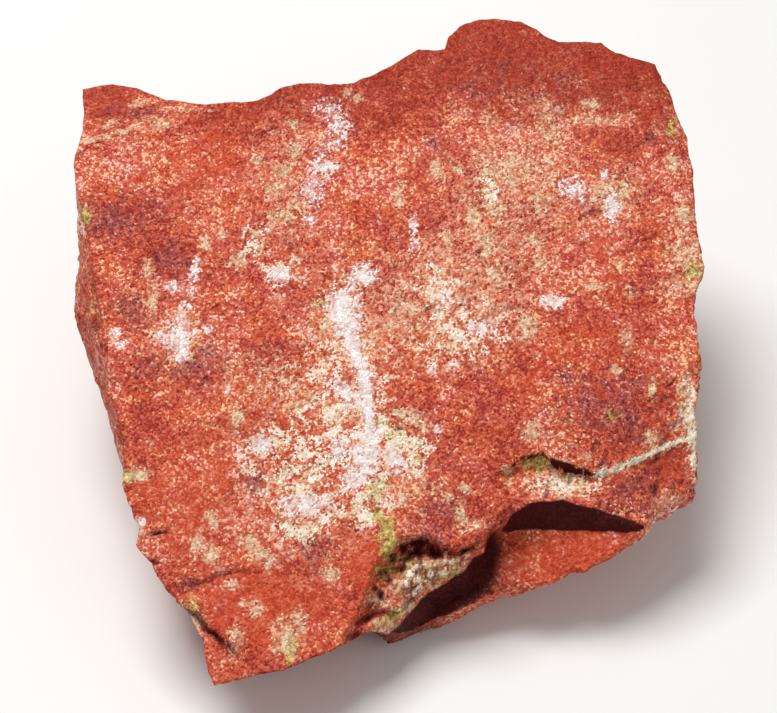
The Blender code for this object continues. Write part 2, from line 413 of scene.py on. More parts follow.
@dataclass(frozen=True)
class Rim:
    """The edge of the stone's top, anticlockwise in plan from its back right corner.

    The runs on the broad face are plan places, and the run along the foot of the ledge
    also has heights over the floor.
    """

    face: BroadFace
    back: Points = (
        (36.1, 41.8), (30.7, 43.1), (28.7, 44.4), (23.2, 44.2), (20.5, 45.7), (17.9, 46.8),
        (15.2, 47.3), (12.5, 46.9), (9.7, 45.7), (8.1, 44.1), (7.6, 42.2), (4.0, 41.8),
        (-0.5, 39.0), (-4.1, 36.5), (-11.8, 35.8), (-14.5, 35.1), (-17.7, 33.3),
        (-23.5, 32.2), (-29.5, 32.6), (-33.5, 34.1), (-36.6, 34.3),
    )
    left: Points = (
        (-40.2, 33.2), (-40.1, 27.3), (-40.9, 24.2), (-40.3, 19.5), (-38.2, 11.6),
        (-36.5, 3.9), (-35.2, -4.8), (-32.8, -12.2), (-32.5, -17.6), (-30.5, -22.7),
        (-30.5, -24.6), (-28.4, -26.6), (-26.7, -29.6), (-24.9, -31.2), (-22.3, -34.9),
        (-21.4, -39.0),
    )
    front: Points = (
        (-20.7, -40.3), (-17.0, -39.1), (-12.3, -38.2), (-7.0, -35.7), (-2.6, -33.4),
    )
    ledge: Points = (
        (0.1, -27.0, 2.5), (2.6, -26.6, 3.2), (5.4, -26.1, 4.1), (8.9, -25.5, 5.1),
        (11.6, -24.6, 6.2), (13.0, -24.0, 6.8), (14.9, -23.4, 7.5), (17.8, -23.8, 7.9),
        (20.6, -23.5, 8.6), (23.0, -22.1, 9.9), (24.2, -22.8, 9.7), (25.8, -22.0, 10.5),
        (27.4, -21.3, 11.2), (30.7, -19.4, 12.9),
    )
    right: Points = (
        (32.0, -18.9), (36.2, -15.4), (38.5, -13.7), (38.9, -4.7), (39.8, 3.6), (39.5, 9.8),
        (41.1, 13.8), (40.4, 18.2), (40.5, 22.3), (39.9, 31.5), (38.0, 37.2),
    )
    middle: Pair = (2.0, 5.0)
    front_right_corner: Pair = (38.5, -13.7)
    ragged: Swell = Swell(0.34, 5.0, 4, 0.62)
    seed: int = 11

    def knots(self) -> np.ndarray:
        """The rim's corners as seen on the face (right, up).

        Returns:
            Corners, two to a row, in the order of the rim.
        """
        def on_face(run: Points) -> np.ndarray:
            """Plan places with the broad face's height over each."""
            plan = np.array(run)
            return np.column_stack([plan, self.face.over(plan)])
        runs = [on_face(self.back), on_face(self.left), on_face(self.front)]
        runs += [np.array(self.ledge), on_face(self.right)]
        return self.face.seen(np.concatenate(runs))[:, :2]

    def quarters(self, count: int) -> np.ndarray:
        """Places spread evenly along the four sides of the rim.

        Formula: each side runs between two corners of the stone and is shared into
        count equal lengths. A fine cloud then moves each place in or out a little.

        Args:
            count: places along each side.

        Returns:
            Four times count places as seen on the face (right, up).
        """
        knots = self.knots()
        right_run = len(self.right)
        corner = len(knots) - right_run + self.right.index(self.front_right_corner)
        starts = [0, len(self.back), len(self.back) + len(self.left), corner, len(knots)]
        closed = np.concatenate([knots, knots[:1]])
        sides = []
        for first, last in zip(starts, starts[1:]):
            run = closed[first:last + 1]
            length = np.concatenate([[0.0], np.cumsum(np.hypot(*np.diff(run, axis=0).T))])
            even = np.linspace(0.0, length[-1], count, endpoint=False)
            sides.append(np.column_stack([np.interp(even, length, run[:, k]) for k in (0, 1)]))
        rim = np.concatenate(sides)
        outward = rim - self.centre()
        outward /= np.linalg.norm(outward, axis=1)[:, None]
        return rim + outward * self.ragged.at(laid_flat(rim[:, 0], rim[:, 1]), self.seed)[:, None]

    def centre(self) -> np.ndarray:
        """The middle of the top as seen on the face.

        Returns:
            One place: right and up.
        """
        plan = np.array([*self.middle, 0.0])
        plan[2] = self.face.over(plan)
        return self.face.seen(plan)[:2]


@dataclass(frozen=True)
class Crack:
    """A groove in the broad face, open in the middle and closed at its ends.

    Args:
        path: the crack's line.
        depth: how deep it is.
        width: half its width.
        drop: how far the side on the line's right hand lies lower.
        reach: how far from the crack the lower side rises again.
        ends: shares of its length at which it closes.
        step: how far past the line the lower side takes to drop.
        shade_fill: how fully painted shade fills it.
    """

    path: Points
    depth: float
    width: float
    drop: float = 0.0
    reach: float = 4.0
    ends: Pair = (0.02, 0.98)
    step: float = 0.3
    shade_fill: float = 1.6

    def cut(self, right: np.ndarray, up: np.ndarray) -> tuple[np.ndarray, np.ndarray]:
        """What the crack takes off the height, and how much painted shade it holds.

        Formula: a V whose depth falls off evenly from the line to its width, times a
        half sine along it; the lower side eases back up over its reach.

        Args:
            right: places along the face.
            up: places up the face.

        Returns:
            The depth and the painted shade at every place.
        """
        far, share, side = Line(self.path).measure(right, up)
        open_part = np.sqrt(np.clip(np.sin(np.pi * np.clip(share, *self.ends)), 0.0, 1.0))
        near = 1.0 - far / self.width
        groove = self.depth * np.clip(near, 0.0, 1.0) * open_part
        lower = self.drop * smoothstep(0.0, self.step, side) * np.clip(1.0 - side / self.reach, 0.0, 1.0)
        lower *= open_part
        # Painted shade in the crack, strongest near its line
        return groove + lower, np.clip(self.shade_fill * near, 0.0, 1.0) * open_part


@dataclass(frozen=True)
class Patch:
    """A spot of another tone: its middle, half its width and height, strength and turn."""

    right: float
    up: float
    across: float
    tall: float
    strength: float = 1.0
    turn: float = 0.0

    def mask(self, right: np.ndarray, up: np.ndarray) -> np.ndarray:
        """The spot's mask, which falls off softly from its middle.

        Formula: a bell of the distance in spot sizes, which is about a half at the edge.

        Args:
            right: places along the face.
            up: places up the face.

        Returns:
            The mask at every place.
        """
        turn = math.radians(self.turn)
        x, y = right - self.right, up - self.up
        along = (x * math.cos(turn) + y * math.sin(turn)) / self.across
        over = (y * math.cos(turn) - x * math.sin(turn)) / self.tall
        return self.strength * np.exp(-BELL * (along**2 + over**2))


@dataclass(frozen=True)
class Streak:
    """A thin line of another tone: its path, half its width and its strength."""

    path: Points
    width: float
    strength: float = 1.0

    def mask(self, right: np.ndarray, up: np.ndarray) -> np.ndarray:
        """The streak's mask: a bell of the distance from its path in half widths."""
        far, _, _ = Line(self.path).measure(right, up)
        return self.strength * np.exp(-BELL * (far / self.width) ** 2)


# The top of the stone


@dataclass(frozen=True)
class Flat:
    """A smaller flat that leans off the broad face: a place on it and its two slopes."""

    right: float
    up: float
    slope_right: float
    slope_up: float

    def level(self, right: np.ndarray, up: np.ndarray) -> np.ndarray:
        """Its height off the broad face: each slope times the way from its place."""
        return self.slope_right * (right - self.right) + self.slope_up * (up - self.up)


@dataclass(frozen=True)
class Strip:
    """The chipped strip in front of the ridge: a steep lip, a crevice and knobbly crystals.

    The foot of the strip also has heights off the face. The fall gives how far down it
    is at each share of the way across, and a hollow is a place, a radius and a depth.
    Shares of the way across start and end the crevice, the band of crystals and the
    streaks; places along the face start and end their runs.
    """

    ridge: Points = (
        (-7.5, -41.5), (-5.6, -37.2), (-4.6, -34.9), (-3.6, -33.3), (-2.9, -31.3), (-2.2, -28.9),
        (-1.4, -26.6), (-0.3, -25.9), (0.8, -25.3), (1.3, -24.0), (3.3, -23.7), (4.8, -23.5),
        (6.1, -24.3), (7.6, -25.2), (9.6, -25.0), (11.3, -23.9), (12.4, -22.9), (13.9, -21.6),
    )
    foot: Points = (
        (-1.6, -39.5, -6.0), (0.1, -35.9, -5.0), (1.5, -34.5, -5.0), (3.0, -32.7, -5.0),
        (4.8, -30.7, -5.0), (7.5, -29.0, -4.7), (9.0, -27.9, -4.3), (10.3, -26.3, -3.6),
        (11.6, -25.3, -2.8), (12.0, -23.7, -1.8), (13.9, -21.9, -0.6), (15.4, -20.4, -0.1),
    )
    fall: Points = (
        (0.0, 0.0), (0.10, 0.26), (0.20, 0.44), (0.32, 0.46), (0.45, 0.38), (0.62, 0.44),
        (0.80, 0.62), (1.0, 1.0),
    )
    hollows: Points = (
        (0.6, -26.6, 1.2, 0.7), (2.6, -25.2, 1.5, 0.9), (5.2, -25.0, 1.3, 0.7), (8.4, -26.2, 1.0, 0.5),
    )
    crystal: float = 1.15
    crystal_height: float = 0.8
    crystal_half: float = 0.62
    crystal_run: Stops = (0.4, 2.4, 9.2, 10.6)
    crystal_band: Stops = (0.44, 0.58, 0.92, 1.0)
    crystal_gap: Pair = (0.05, 0.26)
    crevice: Stops = (0.02, 0.12, 0.34, 0.62)
    crevice_run: Pair = (-1.2, 1.5)
    crevice_shade: Pair = (0.25, 0.42)
    crevice_clouds: Swell = Swell(0.75, 1.5, 3, 0.7)
    hollow_shade: float = 0.4
    gap_shade: float = 0.6
    crystal_tops_lit: float = 0.8
    streaks: Swell = Swell(1.0, 1.1, 2)
    streak_comb: Triple = (1.1, 0.7, 0.25)
    streak_height: float = 0.26
    streak_start: Pair = (0.05, 0.3)
    streak_shade: float = 0.55
    streak_shaded: Pair = (0.1, 0.7)
    seed: int = 51

    def carve(self, right: np.ndarray, up: np.ndarray) -> tuple[np.ndarray, np.ndarray, np.ndarray]:
        """Height that the strip gives in front of its ridge, its painted shade and soiling, and its crystals.

        Formula: a place's share of the way from the ridge to the foot is looked up in
        the fall, which is scaled to the height of the foot. Hollows are taken off, in a
        band of the strip every cell of a net of random seeds bears a dome, and clouds
        drawn out down the strip roughen the rest.

        Args:
            right: places along the face.
            up: places up the face.

        Returns:
            Heights, dirt from 0 to 1, and how much of each place is crystal.
        """
        ridge, foot = Line(self.ridge), Line(self.foot)
        from_ridge, _, side = ridge.measure(right, up)
        from_foot, share, _ = foot.measure(right, up)
        across = from_ridge / (from_ridge + from_foot + SMALL)
        stops = np.array(self.fall)
        inside = (side > 0.0).astype(float)
        level = foot.along(share, 2) * np.interp(across, stops[:, 0], stops[:, 1]) * inside
        flat = laid_flat(right, up)
        # Painted shade, with some soiling, in the crevice behind the ridge
        least, more = self.crevice_shade
        shade = least + more * smoothstep(*self.crevice_run, right)
        shade += self.crevice_clouds.at(flat, self.seed + 2)
        dark = np.clip(window(self.crevice, across) * shade, 0.0, 1.0) * inside
        # Painted shade in each hollow
        for x, y, radius, depth in self.hollows:
            near = np.exp(-(((right - x) ** 2 + (up - y) ** 2) / radius**2)) * inside
            level -= depth * near
            dark = np.maximum(dark, self.hollow_shade * near)
        _, nearest, gap = chips(flat, self.crystal, self.seed)
        band = window(self.crystal_band, across) * (window(self.crystal_run, right) * inside)
        dome = np.sqrt(np.clip(1.0 - (nearest / self.crystal_half) ** 2, 0.0, 1.0))
        level += self.crystal_height * dome * band
        # Painted shade in the gaps between the crystals, lifted off their lit tops
        gaps = self.gap_shade * band * (1.0 - smoothstep(*self.crystal_gap, gap))
        dark = np.maximum(dark * (1.0 - self.crystal_tops_lit * band * dome), gaps)
        along, over, down = self.streak_comb
        combed = laid_flat(along * right - over * up, down * (right + up))
        streaks = self.streaks.at(combed, self.seed + 1)
        rest = inside * (1.0 - band) * smoothstep(*self.streak_start, across)
        level += self.streak_height * streaks * rest
        # Painted shade in the hollows of the streaks
        dark = np.maximum(dark, self.streak_shade * rest * smoothstep(*self.streak_shaded, -streaks))
        return level, dark, band * dome


@dataclass(frozen=True)
class Bite:
    """The bitten front right corner: a steep wall under a lip, and a sloping ledge.

    The ledge is a plane: a place on it, its depth there and its two slopes. The wall's
    painted shadow is crisp from a place along the face on; to the left of it a soft
    painted shade falls over the ledge instead.
    """

    lip: Points = (
        (17.5, -19.1, 0.0), (19.3, -18.8, 0.0), (21.8, -18.6, 0.0), (23.9, -19.2, 0.0),
        (26.6, -19.9, 0.0), (29.4, -20.8, 0.0), (31.4, -21.5, 0.0), (32.2, -22.4, 0.0),
        (35.5, -25.5, 0.0),
    )
    crease: Points = (
        (-2.5, -41.0), (0.6, -37.6), (2.4, -36.2), (4.2, -34.3), (6.1, -32.6), (8.2, -31.2),
        (9.8, -29.9), (11.2, -27.8), (12.3, -26.0), (13.6, -23.9), (15.2, -22.9), (17.6, -22.6),
        (23.0, -22.7), (30.3, -22.8), (32.6, -22.6), (36.0, -25.8),
    )
    soft: float = 8.5
    blur: float = 0.8
    ledge_place: Pair = (18.73, -20.97)
    ledge_depth: float = -4.15
    ledge_slopes: Pair = (0.2491, 0.1314)
    rough: Swell = Swell(0.20, 5.0, 4, 0.6)
    facets: Facets = Facets(0.16, 3.4)
    curl: float = 0.85
    crisp_from: Pair = (12.0, 15.5)
    soft_fade: Pair = (0.15, 1.0)
    soft_start: Pair = (-0.05, 0.4)
    glint_comb: Pair = (0.35, 2.2)
    glint_size: float = 0.8
    glint_span: Pair = (0.3, 0.8)
    glint_inside: Pair = (0.9, 1.4)
    glint: float = 0.5
    seed: int = 61

    def ledge(self, face: BroadFace, right: np.ndarray, up: np.ndarray) -> np.ndarray:
        """Height of the ledge off the broad face: a plane, at the places where it is seen.

        Args:
            face: the broad face.
            right: places along the face.
            up: places up the face.

        Returns:
            Its height at every place.
        """
        slope_right, slope_up = self.ledge_slopes
        x, y = self.ledge_place
        eye_right, eye_up, eye_out = face.eye
        level = self.ledge_depth + slope_right * (right - x) + slope_up * (up - y)
        return level / (1.0 - (slope_right * (eye_right - right) + slope_up * (eye_up - up)) / eye_out)

    def take(
        self, face: BroadFace, strip: Strip, right: np.ndarray, up: np.ndarray, level: np.ndarray
    ) -> tuple[np.ndarray, np.ndarray, np.ndarray, np.ndarray]:
        """The relief with the bite taken out.

        Formula: the edge is the foot of the strip and then the lip. Between the edge
        and the crease the height goes from the edge's own to the ledge's by the share
        of the way across, and beyond the crease it is the ledge's. The wall's shadow
        is a half on its edges and rises inwards, so that its edges stay clean, and
        clouds drawn out along the wall leave faint glints in it.

        Args:
            face: the broad face.
            strip: the strip, whose foot is part of the edge.
            right: places along the face.
            up: places up the face.
            level: heights before the bite.

        Returns:
            Heights, where the bite is, its soft painted shade over the ledge and its wall's painted shadow.
        """
        edge = Line(strip.foot + self.lip)
        far, share, side = edge.measure(right, up)
        to_crease, _, below = Line(self.crease).measure(right, up)
        flat = laid_flat(right, up)
        rough = self.rough.at(flat, self.seed) + self.facets.at(flat, self.seed + 1)
        ledge = self.ledge(face, right, up) + rough
        across = np.where(below < 0.0, far / (far + to_crease + SMALL), 1.0)
        inward = np.minimum(side, np.where(below < 0.0, to_crease, -to_crease))
        start = edge.along(share, 2)
        fallen = start + (ledge - start) * across**self.curl
        beyond = side > 0.0
        crisp = smoothstep(*self.crisp_from, right)
        # Soft painted shade over the left of the ledge, under the strip's overhang
        soft = (1.0 - crisp) * (1.0 - smoothstep(*self.soft_fade, far / self.soft))
        soft *= smoothstep(*self.soft_start, side)
        along, over = self.glint_comb
        glints = ripple(laid_flat(along * right, over * up), self.glint_size, self.seed + 3)
        glints = self.glint * smoothstep(*self.glint_span, glints)
        shadow = edged(inward, self.blur) * crisp * (1.0 - glints * smoothstep(*self.glint_inside, inward))
        return np.where(beyond, np.minimum(fallen, level), level), beyond, soft, shadow


@dataclass(frozen=True)
class Gash:
    """The gash behind the lip: a plate that sinks to the back and ends at a dark wall.

    Its fill and its wedge are given as right, up, half width, half height and depth.
    """

    lip: Points = (
        (12.0, -16.4), (12.7, -15.7), (14.7, -14.3), (16.7, -13.2), (18.5, -12.4), (19.3, -12.3),
        (20.2, -13.2), (22.4, -13.8), (24.4, -14.4), (25.9, -15.1), (27.4, -15.9),
    )
    front: float = -19.0
    sink: float = 0.38
    steep: float = 1.5
    ends: Stops = (12.4, 15.2, 24.5, 27.4)
    reach: float = 9.0
    fill: tuple[float, ...] = (18.4, -13.7, 2.6, 0.8, -0.6)
    wedge: tuple[float, ...] = (22.6, -14.6, 2.6, 1.1, 1.0)
    slit: float = 0.5
    slit_at_wedge: float = 1.1
    slit_clouds: Swell = Swell(1.0, 1.1, 3, 0.7)
    slit_span: Pair = (0.0, 0.7)
    slit_light: float = 0.5
    blur: float = 0.8
    seed: int = 38

    @staticmethod
    def bell(right: np.ndarray, up: np.ndarray, spot: tuple[float, ...]) -> np.ndarray:
        """How near places are to a spot, as a bell of half its width and height."""
        x, y, wide, tall = spot[:4]
        return np.exp(-(((right - x) / wide) ** 2) - ((up - y) / tall) ** 2)

    def carve(
        self, right: np.ndarray, up: np.ndarray, flat: np.ndarray
    ) -> tuple[np.ndarray, np.ndarray]:
        """How deep the gash is, and its shadow, which is a half on the shadow's edges.

        Formula: the plate's depth is its sink times the way behind the lip of the bite,
        eased to nothing at both ends, and the wall under the gash's own lip holds it to
        its steepness times the distance from that lip. A fill lies under the lip on the
        left, and a wedge goes deeper on the right. The shadow is a slit along the lip,
        wider at the wedge, and clouds let some of the wall through.

        Args:
            right: places along the face.
            up: places up the face.
            flat: the places before they wandered, three coordinates to a row.

        Returns:
            The depth and the shadow at every place.
        """
        _, _, side = Line(self.lip).measure(right, up)
        inside = window(self.ends, right)
        plate = self.sink * np.clip(up - self.front, 0.0, self.reach) * inside
        for spot in (self.fill, self.wedge):
            plate += spot[4] * inside * self.bell(right, up, spot)
        wall = self.steep * np.clip(side, 0.0, None)
        depth = np.where(side > 0.0, np.minimum(np.clip(plate, 0.0, None), wall), 0.0)
        wide_open = self.slit + self.slit_at_wedge * self.bell(right, up, self.wedge)
        shadow = edged(np.minimum(side, wide_open * inside - side), self.blur) * (inside > 0.0)
        lit = smoothstep(*self.slit_span, self.slit_clouds.at(flat, self.seed))
        return depth, shadow * (1.0 - self.slit_light * lit)


@dataclass(frozen=True)
class Relief:
    """The top's heights off the broad face, and its painted shade with some soiling, its painted shadow and
    its crystals, from 0 to 1.
    """

    level: np.ndarray
    shade_and_soiling: np.ndarray
    shadow: np.ndarray
    crystals: np.ndarray


@dataclass(frozen=True)
class Top:
    """The relief of everything that is seen on the top, as heights off the broad face."""

    flats: tuple[Flat, ...] = (
        Flat(-36.1, 30.7, 0.20, -0.42),
        Flat(28.1, -16.4, -0.12, 0.12),
        Flat(37.7, 31.8, -0.50, -0.10),
    )
    strip: Strip = Strip()
    bite: Bite = Bite()
    gash: Gash = Gash()
    cracks: tuple[Crack, ...] = (
        Crack([(-25.0, -30.5), (-22.3, -29.9), (-20.8, -29.0), (-18.0, -28.5), (-15.6, -28.6)],
              0.25, 0.5, 0.75, 9.0),
        Crack([(-29.5, -24.2), (-28.9, -24.3), (-26.5, -24.0)], 0.7, 0.4),
        Crack([(-29.2, -27.6), (-28.4, -27.7), (-27.4, -27.8)], 0.6, 0.4),
        Crack([(-24.8, -32.6), (-24.1, -33.6), (-21.3, -36.3), (-18.2, -39.0), (-17.4, -40.0)],
              1.3, 0.55),
        Crack([(-15.3, -31.0), (-14.0, -32.6), (-12.8, -34.1)], 0.3, 0.35),
        Crack([(-4.4, -35.2), (-2.4, -34.2), (0.4, -33.2)], 0.8, 0.5),
        Crack([(33.5, -15.0), (33.5, -17.0), (32.6, -18.6)], 0.5, 0.4),
        Crack([(25.1, -15.4), (27.6, -14.8), (30.7, -13.5), (32.8, -12.8), (34.9, -11.6), (38.5, -10.2)],
              0.1, 0.3, 0.55, 6.0),
        Crack([(11.0, -23.4), (12.6, -22.0), (14.4, -20.6), (16.0, -19.2), (17.6, -18.4)], 0.4, 0.7),
        Crack([(-22.9, 5.6), (-22.0, 6.3), (-21.2, 6.8)], 0.35, 0.35),
        Crack([(26.5, 46.0), (28.5, 44.0), (29.7, 42.3)], 0.25, 0.6),
        Crack([(33.0, 43.2), (34.0, 40.2), (34.6, 38.6)], 0.25, 0.6),
        Crack([(26.4, 36.4), (27.6, 36.3), (28.8, 36.2)], 0.3, 0.35),
        Crack([(22.6, 9.9), (23.7, 9.2), (24.8, 9.6)], 0.3, 0.35),
        Crack([(1.1, -9.8), (1.6, -9.7), (2.1, -9.6)], 0.6, 0.4),
        Crack([(11.5, 14.9), (11.8, 14.9), (12.1, 14.9)], 0.6, 0.45),
        Crack([(21.2, 10.4), (21.4, 10.4), (21.6, 10.4)], 0.5, 0.4),
        Crack([(-31.8, 26.2), (-29.1, 19.0), (-25.8, 16.2), (-17.7, 10.1)], 0.05, 0.4, 0.22, 7.0),
        Crack([(-28.0, -7.5), (-27.2, -14.0), (-26.5, -16.0)], 0.18, 0.4, 0.15, 5.0),
        Crack([(-9.5, -24.5), (-6.0, -27.5), (-3.4, -31.0)], 0.12, 0.5, 0.3, 4.0),
        Crack([(9.0, -17.2), (10.4, -19.3), (12.3, -21.0)], 0.2, 0.5, 0.4, 4.0),
        Crack([(-39.7, 21.0), (-38.0, 12.2), (-36.7, 5.3), (-35.4, -0.2), (-33.4, -10.9)], 0.35, 0.35),
    )
    blend: float = 0.15
    swell: Swell = Swell(0.34, 26.0)
    waves: Swell = Swell(0.16, 10.0, 2)
    facets: Facets = Facets(0.14, 6.5)
    chipping: Facets = Facets(0.10, 2.3)
    grit: Swell = Swell(0.07, 1.3, 2, 0.7)
    wander: Swell = Swell(0.22, 2.2, 2)
    crack_shade: Pair = (1.3, 0.8)
    strip_below: float = -0.2
    strip_grit: float = 2.0
    seed: int = 31

    def relief(self, face: BroadFace, right: np.ndarray, up: np.ndarray) -> Relief:
        """Everything that is seen on the top.

        Formula: the lowest of the broad face and its flats, with a swell, facets and
        grit on it; the strip, the gash and the cracks are taken off; and beyond the
        edge of the bite it falls steeply until it meets the ledge. The places wander a
        little first, so that no line is quite straight. A crack's painted shade goes
        with its depth, up to a limit.

        Args:
            face: the broad face.
            right: places along the face.
            up: places up the face.

        Returns:
            The relief at every place.
        """
        flat = laid_flat(right, up)
        level = np.zeros_like(right)
        for piece in self.flats:
            level = soft_min(level, piece.level(right, up), self.blend)
        level += self.swell.at(flat, self.seed) + self.waves.at(flat, self.seed + 1)
        grit = self.facets.at(flat, self.seed + 2) + self.chipping.at(flat, self.seed + 3)
        grit += self.grit.at(flat, self.seed + 4)
        level += grit
        right = right + self.wander.at(flat, self.seed + 5)
        up = up + self.wander.at(flat, self.seed + 6)
        # Painted shade in the cracks, the strip and the bite, with some soiling in the strip's crevice
        shade_and_soiling = np.zeros_like(right)
        by_depth, most = self.crack_shade
        for crack in self.cracks:
            cut, shade = crack.cut(right, up)
            level -= cut
            shade_and_soiling = np.maximum(shade_and_soiling, shade * min(most, by_depth * crack.depth))
        carved, shade, crystals = self.strip.carve(right, up)
        level += carved + self.strip_grit * grit * (carved < self.strip_below) * (1.0 - crystals)
        shade_and_soiling = np.maximum(shade_and_soiling, shade)
        deep, slit = self.gash.carve(right, up, flat)
        level -= deep
        level, beyond, shade, shadow = self.bite.take(face, self.strip, right, up, level)
        crystals = np.where(beyond, 0.0, crystals)
        return Relief(level, np.where(beyond, shade, shade_and_soiling), np.maximum(shadow, slit * ~beyond), crystals)


class Lattice:
    """A square net of places, drawn over the top so that its border is the rim.

    Args:
        rim: the rim.
        cells: how many cells the net has along each side.
    """

    # Shares of the way out between which the rings take the rim's own outline
    FIRM = (0.55, 1.0)
    # What part of the border is taken on both sides for the rounder outline
    NEAR = 40

    def __init__(self, rim: Rim, cells: int) -> None:
        """Share the rim out among the sides of the net."""
        self.cells = cells
        self.centre = rim.centre()
        self.border = rim.quarters(cells)

    def spread(self) -> tuple[np.ndarray, np.ndarray]:
        """Places of the net's knots, row by row.

        Formula: a knot's ring is the larger of its two distances from the net's middle.
        Its share of the way round the ring picks a place on the rim, which is pulled
        towards the middle by the ring, and inner rings ease to a rounder outline.

        Returns:
            Places along the face and up the face.
        """
        count = self.cells
        steps = np.linspace(-1.0, 1.0, count + 1)
        across, tall = np.meshgrid(steps, steps, indexing="ij")
        ring = np.maximum(np.abs(across), np.abs(tall))
        safe = np.maximum(ring, TINY)
        sides = [tall >= ring - TINY, across <= TINY - ring, tall <= TINY - ring]
        ways = [-across / safe, -tall / safe, across / safe, tall / safe]
        quarters = [turn + 0.5 * (1.0 + way) for turn, way in enumerate(ways)]
        quarter = np.select(sides, quarters[:3], quarters[3])
        where = quarter.ravel() * count
        spokes = self.border - self.centre
        ring = ring.ravel()[:, None]
        firm = smoothstep(*self.FIRM, ring)
        reach = self.around(spokes, where) * firm
        reach += self.around(self.rounded(spokes), where) * (1.0 - firm)
        places = self.centre + ring * reach
        return places[:, 0], places[:, 1]

    @classmethod
    def rounded(cls, spokes: np.ndarray) -> np.ndarray:
        """Spokes of a rounder outline: each is the mean of its neighbours on both sides.

        Args:
            spokes: spokes to the border, in its order.

        Returns:
            The rounder spokes, in the same order.
        """
        near = len(spokes) // cls.NEAR
        total = sum(np.roll(spokes, shift, axis=0) for shift in range(-near, near + 1))
        return total / (2 * near + 1)

    @staticmethod
    def around(spokes: np.ndarray, where: np.ndarray) -> np.ndarray:
        """Spokes at places between the ones that are kept, in straight runs.

        Args:
            spokes: the spokes that are kept, in the order of the border.
            where: places among them, counted in spokes.

        Returns:
            A spoke for every place.
        """
        index = np.floor(where).astype(int)
        share = (where - index)[:, None]
        count = len(spokes)
        return spokes[index % count] * (1.0 - share) + spokes[(index + 1) % count] * share

    def loop(self) -> np.ndarray:
        """Indices of the knots on the border, in the order of the rim.

        Returns:
            Indices into the net's places.
        """
        last = self.cells
        index = np.arange((last + 1) ** 2).reshape(last + 1, last + 1)
        sides = [index[::-1, last][:-1], index[0, ::-1][:-1], index[:, 0][:-1], index[last, :][:-1]]
        return np.concatenate(sides)

    def quads(self) -> np.ndarray:
        """The net's faces, which face out of the stone.

        Returns:
            Indices of the corners, four to a row.
        """
        index = np.arange((self.cells + 1) ** 2).reshape(self.cells + 1, -1)
        corners = [index[:-1, :-1], index[1:, :-1], index[1:, 1:], index[:-1, 1:]]
        return np.stack([corner.ravel() for corner in corners], -1)


# The sides and the underside


@dataclass(frozen=True)
class Stray:
    """How a side strays from straight down: which way, round what place, and how far.

    Args:
        way: the way it goes in plan.
        middle: the place on the rim where it strays most.
        reach: how far round that place it does so.
        stops: depths under the broad face and how far it has gone there.
    """

    way: Pair
    middle: Pair
    reach: Pair
    stops: Points


@dataclass(frozen=True)
class Underside:
    """A plane that breaks the underside away: a place, the way it faces and its slope."""

    place: Triple
    turn: float
    slope: float

    def facing(self) -> np.ndarray:
        """Its outward direction.

        Returns:
            A direction of length 1.
        """
        around, down = math.radians(self.turn), math.radians(self.slope)
        out = math.sin(down)
        return np.array([out * math.cos(around), out * math.sin(around), -math.cos(down)])


